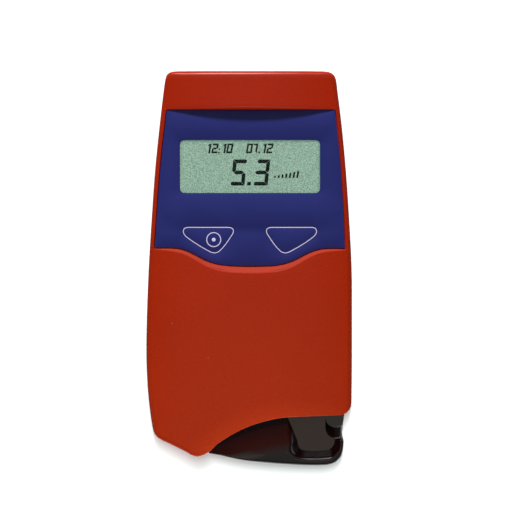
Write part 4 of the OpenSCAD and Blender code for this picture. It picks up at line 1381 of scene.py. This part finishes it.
def make_arm():
    edge = catmull(ARM_EDGE, 0.2)
    hidden = catmull([(38.8, -59.6), (37.8, -58.8), (28, -58.8), (18, -58.8), (10, -59.5), (0, -62.3), (-8, -66.6), (-14, -72.5)], 0.3)
    outer = resample(edge, 0.45)
    inner = resample(hidden, 1.0)
    loop = np.vstack([outer, inner])
    n_out = len(outer)
    wt = np.concatenate([np.ones(n_out), np.zeros(len(inner))])
    s = lengths(outer)
    wt[:n_out] = smooth01(s / 6) * smooth01((s[-1] - s) / 3 + 0.15)
    r = wt.copy()
    r[:n_out] *= 0.55 + 0.75 * smooth01((s - 8) / 16)
    nrm = left_normals(loop)
    top = loop + nrm * r[:, None]
    zt = arm_height(top[:, 0], top[:, 1])
    b = Build()
    low = 0.9 * wt
    rows = []
    bot = loop + nrm * low[:, None]
    p0 = np.column_stack([bot, np.full(len(loop), 10.0)])
    p1 = np.column_stack([loop, np.full(len(loop), 10.0)])
    p2 = np.column_stack([loop, 10.0 + low])
    for q in conic(p0, p1, p2, 4):
        rows.append(b.add(q))
    for z in (14, 18):
        rows.append(b.ring(loop, z))
    zc = arm_height(loop[:, 0], loop[:, 1])
    zc = np.minimum(zc, zt + 0.25)
    p0 = np.column_stack([loop, zc - r])
    p1 = np.column_stack([loop, zc])
    p2 = np.column_stack([top, zt])
    for q in conic(p0, p1, p2, 8):
        rows.append(b.add(q))
    b.strips(rows)
    b.cap(rows[0][::-1])
    line = DISH[(DISH[:, 1] < -61)]
    lines = [resample(line, 0.33), resample(np.array([(3.5, -76.18), (14.6, -75.07)]), 0.33)]
    for away in (2.9, 3.15, 3.4, 3.65, 3.9, 4.15):
        lines.append(resample(inset(line, -away, False, 0.2), 0.33))
    b.patch(rows[-1], [], arm_height, 0.36, 0.5, lines)
    show = b.obj("arm_show")
    # the part inside the case, from the CAD
    hid = copy_node("arm_body", "arm_hidden")
    cut = np.vstack([[(-17.5, -95)], [(-17.5, -72.2)], [(-13.6, -72.1)], resample(hidden, 1.0)[::-1][1:-1] + np.array([0.0, -0.25]), [(39.5, -59.2)], [(60, -59.2)], [(60, -95)]])
    hid = boolean(hid, prism("ac", ccw(cut), 5, 40), "DIFFERENCE")
    cavity = ccw(np.vstack([inset(resample(np.vstack([outer, inner]), 0.6, True), 1.8)]))
    cav = prism("cv", cavity, 8.0, 20.2)
    cav = boolean(cav, prism("cw", ccw([(29.6, -70.6), (45, -70.6), (45, -56), (29.6, -56)]), 17.6, 22), "DIFFERENCE")
    show = boolean(show, cav, "DIFFERENCE")
    show = boolean(show, hid, "UNION")
    # finger channel: flat floor, rising in a straight slope at its rounded closed end
    b = Build()
    rings = []
    for t in np.linspace(0, 1, 5):
        z = 19.4 + 2.65 * t
        cy = -61.0 - 4.4 * t
        ring = [(31.1, -56.6)] + [(35.2 + 4.1 * math.cos(u), cy + 4.1 * math.sin(u)) for u in np.linspace(math.pi, 1.72 * math.pi, 18)] + [(44, cy - 4.1 * 0.77), (44, -56.6)]
        rings.append(b.ring(np.array(ring), z))
    rings.append(b.ring(np.array(ring), 32))
    b.strips(rings)
    b.cap(rings[0][::-1])
    b.cap(rings[-1])
    show = boolean(show, b.obj("channel"), "DIFFERENCE")
    show = boolean(show, lathe("pc", round_profile(7.7, 22.0, 40), (P[0], P[1], 0), n=64), "DIFFERENCE")
    seat = ccw([(11.8, -57.6), (45, -57.6), (45, -45.4), (11.8, -45.4)])
    show = boolean(show, prism("st", seat, 19.4, 40), "DIFFERENCE")
    show.name = show.data.name = "cuvette_arm"
    return tidy(show, 26)


finish_piece(make_arm(), "arm", MAT["arm_black"], ["arm_body"])

# ---------------------------------------------------------------- underside
def facing_down(o):
    """The plate turned over, so that its rounded edges look down."""
    for v in o.data.vertices:
        v.co.z = -v.co.z
    o.data.flip_normals()
    return o


def make_cover():
    door = copy_node("battery_cover", "battery_door")
    slab = prism("dc", ccw([(-28.29, -6.55), (28.29, -6.55), (28.29, 49.79), (-28.29, 49.79)]), 0.5, 2.3)
    door = boolean(door, slab, "DIFFERENCE")
    plate = facing_down(soft_plate("dp", box_loop(-28.3, -6.6, 28.3, 49.8, 0.9, 6), [], -2.35, -FLOOR_Z, 0.45, 4))
    door = boolean(door, plate, "UNION")
    door = boolean(door, dent("dd", 0.0, 45.0, FLOOR_Z, 3.6, 1.1, 0.5), "DIFFERENCE")
    # grip ribs, shorter towards the dent
    for i in range(7):
        half, y = 11.0 - 1.45 * i, 25.5 + 2.2 * i
        b = Build()
        rows = [b.ring(box_loop(-half, y - 0.5, half, y + 0.5, 0.45, 5), -1.7)]
        for a in np.linspace(0, math.pi / 2, 5):
            d = 0.34 * (1 - math.cos(a))
            rows.append(b.ring(box_loop(-half + d, y - 0.5 + d, half - d, y + 0.5 - d, 0.45 - d, 5), -1.16 + 0.34 * math.sin(a)))
        b.strips(rows)
        b.cap(rows[-1])
        b.cap(rows[0][::-1])
        door = boolean(door, facing_down(b.obj("dr")), "UNION")
    return tidy(door, 40)


finish_piece(make_cover(), "cover", MAT["case_red"], ["battery_cover"])

feet = []
for x, y in FEET:
    prof = [(0, 0.22), (1.4, 0.2), (1.9, 0.12), (2.25, 0.02), (2.5, 0.0), (2.95, 0.0), (3.2, 0.06), (3.36, 0.2), (3.4, 0.38), (3.42, 0.95),
            (3.6, 1.12), (3.9, 1.18), (3.98, 1.3), (4.0, 1.45), (4.0, 3.0), (0, 3.0)]
    feet.append(lathe("foot", prof, (x, y, 0), n=72))
finish_piece(tidy(join("foot_pads", feet), 40), "case", MAT["rubber"], ["rubber_feet"])

screws = []
for x, y in SCREWS:
    prof = [(0, 3.42), (1.5, 3.36), (2.05, 3.42), (2.36, 3.6), (2.5, 3.9), (2.5, 5.18), (1.5, 5.2), (1.5, 26.6), (1.2, 27.0), (0, 27.0)]
    one_screw = lathe("screw", prof, (x, y, 0), n=48)
    for turn in (0.3, 0.3 + math.pi / 2):
        c, d = math.cos(turn), math.sin(turn)
        bar_ = [(x + a * c - b_ * d, y + a * d + b_ * c) for a, b_ in ((-1.35, -0.24), (1.35, -0.24), (1.35, 0.24), (-1.35, 0.24))]
        one_screw = boolean(one_screw, prism("slot", bar_, 3.0, 4.35), "DIFFERENCE")
    screws.append(one_screw)
finish_piece(tidy(join("shell_screws", screws), 35), "case", MAT["steel"], ["case_screws"])

# ---------------------------------------------------------------- the other nodes keep their shape
bevels = {"rubber_feet": 0.3, "case_screws": 0.15, "board_screws": 0.12, "power_socket": 0.2, "lcd_frame": 0.2, "main_board": 0.1,
          "processor_chips": 0.15, "buzzer": 0.3, "backup_cell": 0.25, "backup_cell_holder": 0.2, "emitter_block": 0.25,
          "detector_block": 0.2, "arm_switch": 0.2, "battery_cells": 0.5, "pivot_pin": 0.25, "arm_bush": 0.2, "release_catch": 0.2,
          "arm_base_plate": 0.2, "key_switches": 0.2, "ribbon_connectors": 0.15, "zebra_connectors": 0.15, "battery_cover": 0.25,
          "sensor_board": 0.1, "lcd_glass": 0.1, "optics_window": 0.1, "photodiode": 0.1, "power_plunger": 0.15, "menu_plunger": 0.15}
for n, o in NODES.items():
    if o.hide_render:
        continue
    o.data.materials.clear()
    o.data.materials.append(MAT[SLOT_OF[n]])
    if n in bevels:
        wm = o.modifiers.new("weld", "WELD")
        wm.merge_threshold = 1e-6
        bm_ = o.modifiers.new("bevel", "BEVEL")
        bm_.width = bevels[n] * MM
        bm_.segments = 3
        bm_.limit_method = "ANGLE"
        bm_.angle_limit = math.radians(50)
        bm_.harden_normals = False

# ---------------------------------------------------------------- floor, light and camera
floor = bpy.data.meshes.new("floor")
floor.from_pydata([(-3, -3, 0), (3, -3, 0), (3, 3, 0), (-3, 3, 0)], [], [(0, 1, 2, 3)])
floor = link("floor", floor)
fm, fnt, fb = nodes_of("pale_floor")
nfl = noise(fnt, 30, 3)
fnt.links.new(ramp_node(fnt, nfl, [(0.3, (0.82, 0.885, 0.885)), (0.7, (0.84, 0.91, 0.91))]), fb.inputs["Base Color"])
fb.inputs["Roughness"].default_value = 0.9
fb.inputs["Specular IOR Level"].default_value = 0.0
floor.data.materials.append(fm)

world = bpy.data.worlds.new("studio")
scene.world = world
world.use_nodes = True
wn = world.node_tree
bg = next(n for n in wn.nodes if n.type == "BACKGROUND")
tc = wn.nodes.new("ShaderNodeTexCoord")
sx = wn.nodes.new("ShaderNodeSeparateXYZ")
wn.links.new(tc.outputs["Generated"], sx.inputs[0])
cl = wn.nodes.new("ShaderNodeMath")
cl.operation = "MAXIMUM"
cl.inputs[1].default_value = 0.0
wn.links.new(sx.outputs["Z"], cl.inputs[0])
pw = wn.nodes.new("ShaderNodeMath")
pw.operation = "POWER"
pw.inputs[1].default_value = 2.0
wn.links.new(cl.outputs[0], pw.inputs[0])
ml = wn.nodes.new("ShaderNodeMath")
ml.operation = "MULTIPLY_ADD"
ml.inputs[1].default_value = 0.45
ml.inputs[2].default_value = 0.055
wn.links.new(pw.outputs[0], ml.inputs[0])
# soft overhead panel, a little towards the top end
dt = wn.nodes.new("ShaderNodeVectorMath")
dt.operation = "DOT_PRODUCT"
dt.inputs[1].default_value = (0.0, 0.14, 0.99)
wn.links.new(tc.outputs["Generated"], dt.inputs[0])
dc = wn.nodes.new("ShaderNodeMath")
dc.operation = "MAXIMUM"
dc.inputs[1].default_value = 0.0
wn.links.new(dt.outputs["Value"], dc.inputs[0])
dp = wn.nodes.new("ShaderNodeMath")
dp.operation = "POWER"
dp.inputs[1].default_value = 14.0
wn.links.new(dc.outputs[0], dp.inputs[0])
cb = wn.nodes.new("ShaderNodeCombineColor")
for k, tint in enumerate((0.56, 0.42, 0.28)):
    sm = wn.nodes.new("ShaderNodeMath")
    sm.operation = "MULTIPLY_ADD"
    sm.inputs[1].default_value = tint
    wn.links.new(dp.outputs[0], sm.inputs[0])
    wn.links.new(ml.outputs[0], sm.inputs[2])
    wn.links.new(sm.outputs[0], cb.inputs[k])
wn.links.new(cb.outputs[0], bg.inputs["Color"])
bg.inputs["Strength"].default_value = 1.0


def area(name, at, target, size, power):
    d = bpy.data.lights.new(name, "AREA")
    d.shape, d.size, d.energy = "DISK", size, power
    o = bpy.data.objects.new(name, d)
    scene.collection.objects.link(o)
    o.location = at
    o.rotation_mode = "QUATERNION"
    o.rotation_quaternion = (Vector(target) - Vector(at)).to_track_quat("-Z", "Y")
    return o


key_dir = Vector((-0.10, 0.868, 0.487)).normalized()
key = area("key_light", tuple(key_dir * 3.0), (0, 0, 0.03), 0.45, 126.0)
screen = area("display_light", tuple(key_dir * 3.0), (0, 0, 0.03), 0.45, 137.0)
low = area("low_fill", (0.05, -1.5, 0.30), (0, -0.05, 0.03), 0.5, 22.0)
low.data.color = (1.0, 0.82, 0.6)
rim = area("rim_light", (0.0, 1.6, 0.13), (0, 0, 0.04), 0.3, 10.0)
rim.data.color = (0.80, 0.90, 1.0)
glint = area("arm_light", (-0.20, 1.20, 0.58), (0.01, -0.07, 0.02), 0.14, 20.0)
glint.data.shape = "RECTANGLE"
glint.data.size, glint.data.size_y = 0.9, 0.12
glint.visible_diffuse = False
over = area("floor_light", (0, 0.1, 1.5), (0, 0, 0), 1.6, 12.2)
wide = area("floor_key", (0.003, 0.205, 1.55), (0, 0, 0), 0.36, 20.0)
wide.data.shape = "RECTANGLE"
wide.data.size, wide.data.size_y = 0.07, 0.31


def only(light, objs, blockers=None):
    """The light falls on these objects alone, and only blockers cast its shadow."""
    c = bpy.data.collections.new(light.name + "_on")
    for o in objs:
        c.objects.link(o)
    light.light_linking.receiver_collection = c
    if blockers is not None:
        c = bpy.data.collections.new(light.name + "_by")
        for o in blockers:
            c.objects.link(o)
        light.light_linking.blocker_collection = c


solid = [o for o in scene.objects if o.type == "MESH" and o is not floor]
shown = [o for o in solid if o.name in ("display_figures",) or o is NODES["lcd_glass"]]
only(key, [o for o in solid if o not in shown])
only(screen, shown, [floor])
only(low, [o for o in solid if o.active_material is MAT["case_red"]])
only(rim, [o for o in solid if o.name == "front_shell"], [floor])
only(glint, [o for o in solid if o.name == "cuvette_arm"], [floor])
only(over, [floor], [floor])
only(wide, [floor])

cam_d = bpy.data.cameras.new("camera")
cam_d.sensor_width = 36.0
cam_d.lens = 206.5
cam_d.clip_start, cam_d.clip_end = 0.1, 10
cam = bpy.data.objects.new("camera", cam_d)
scene.collection.objects.link(cam)
cam.location = (0.0028, 0.0049, 1.22)
scene.camera = cam
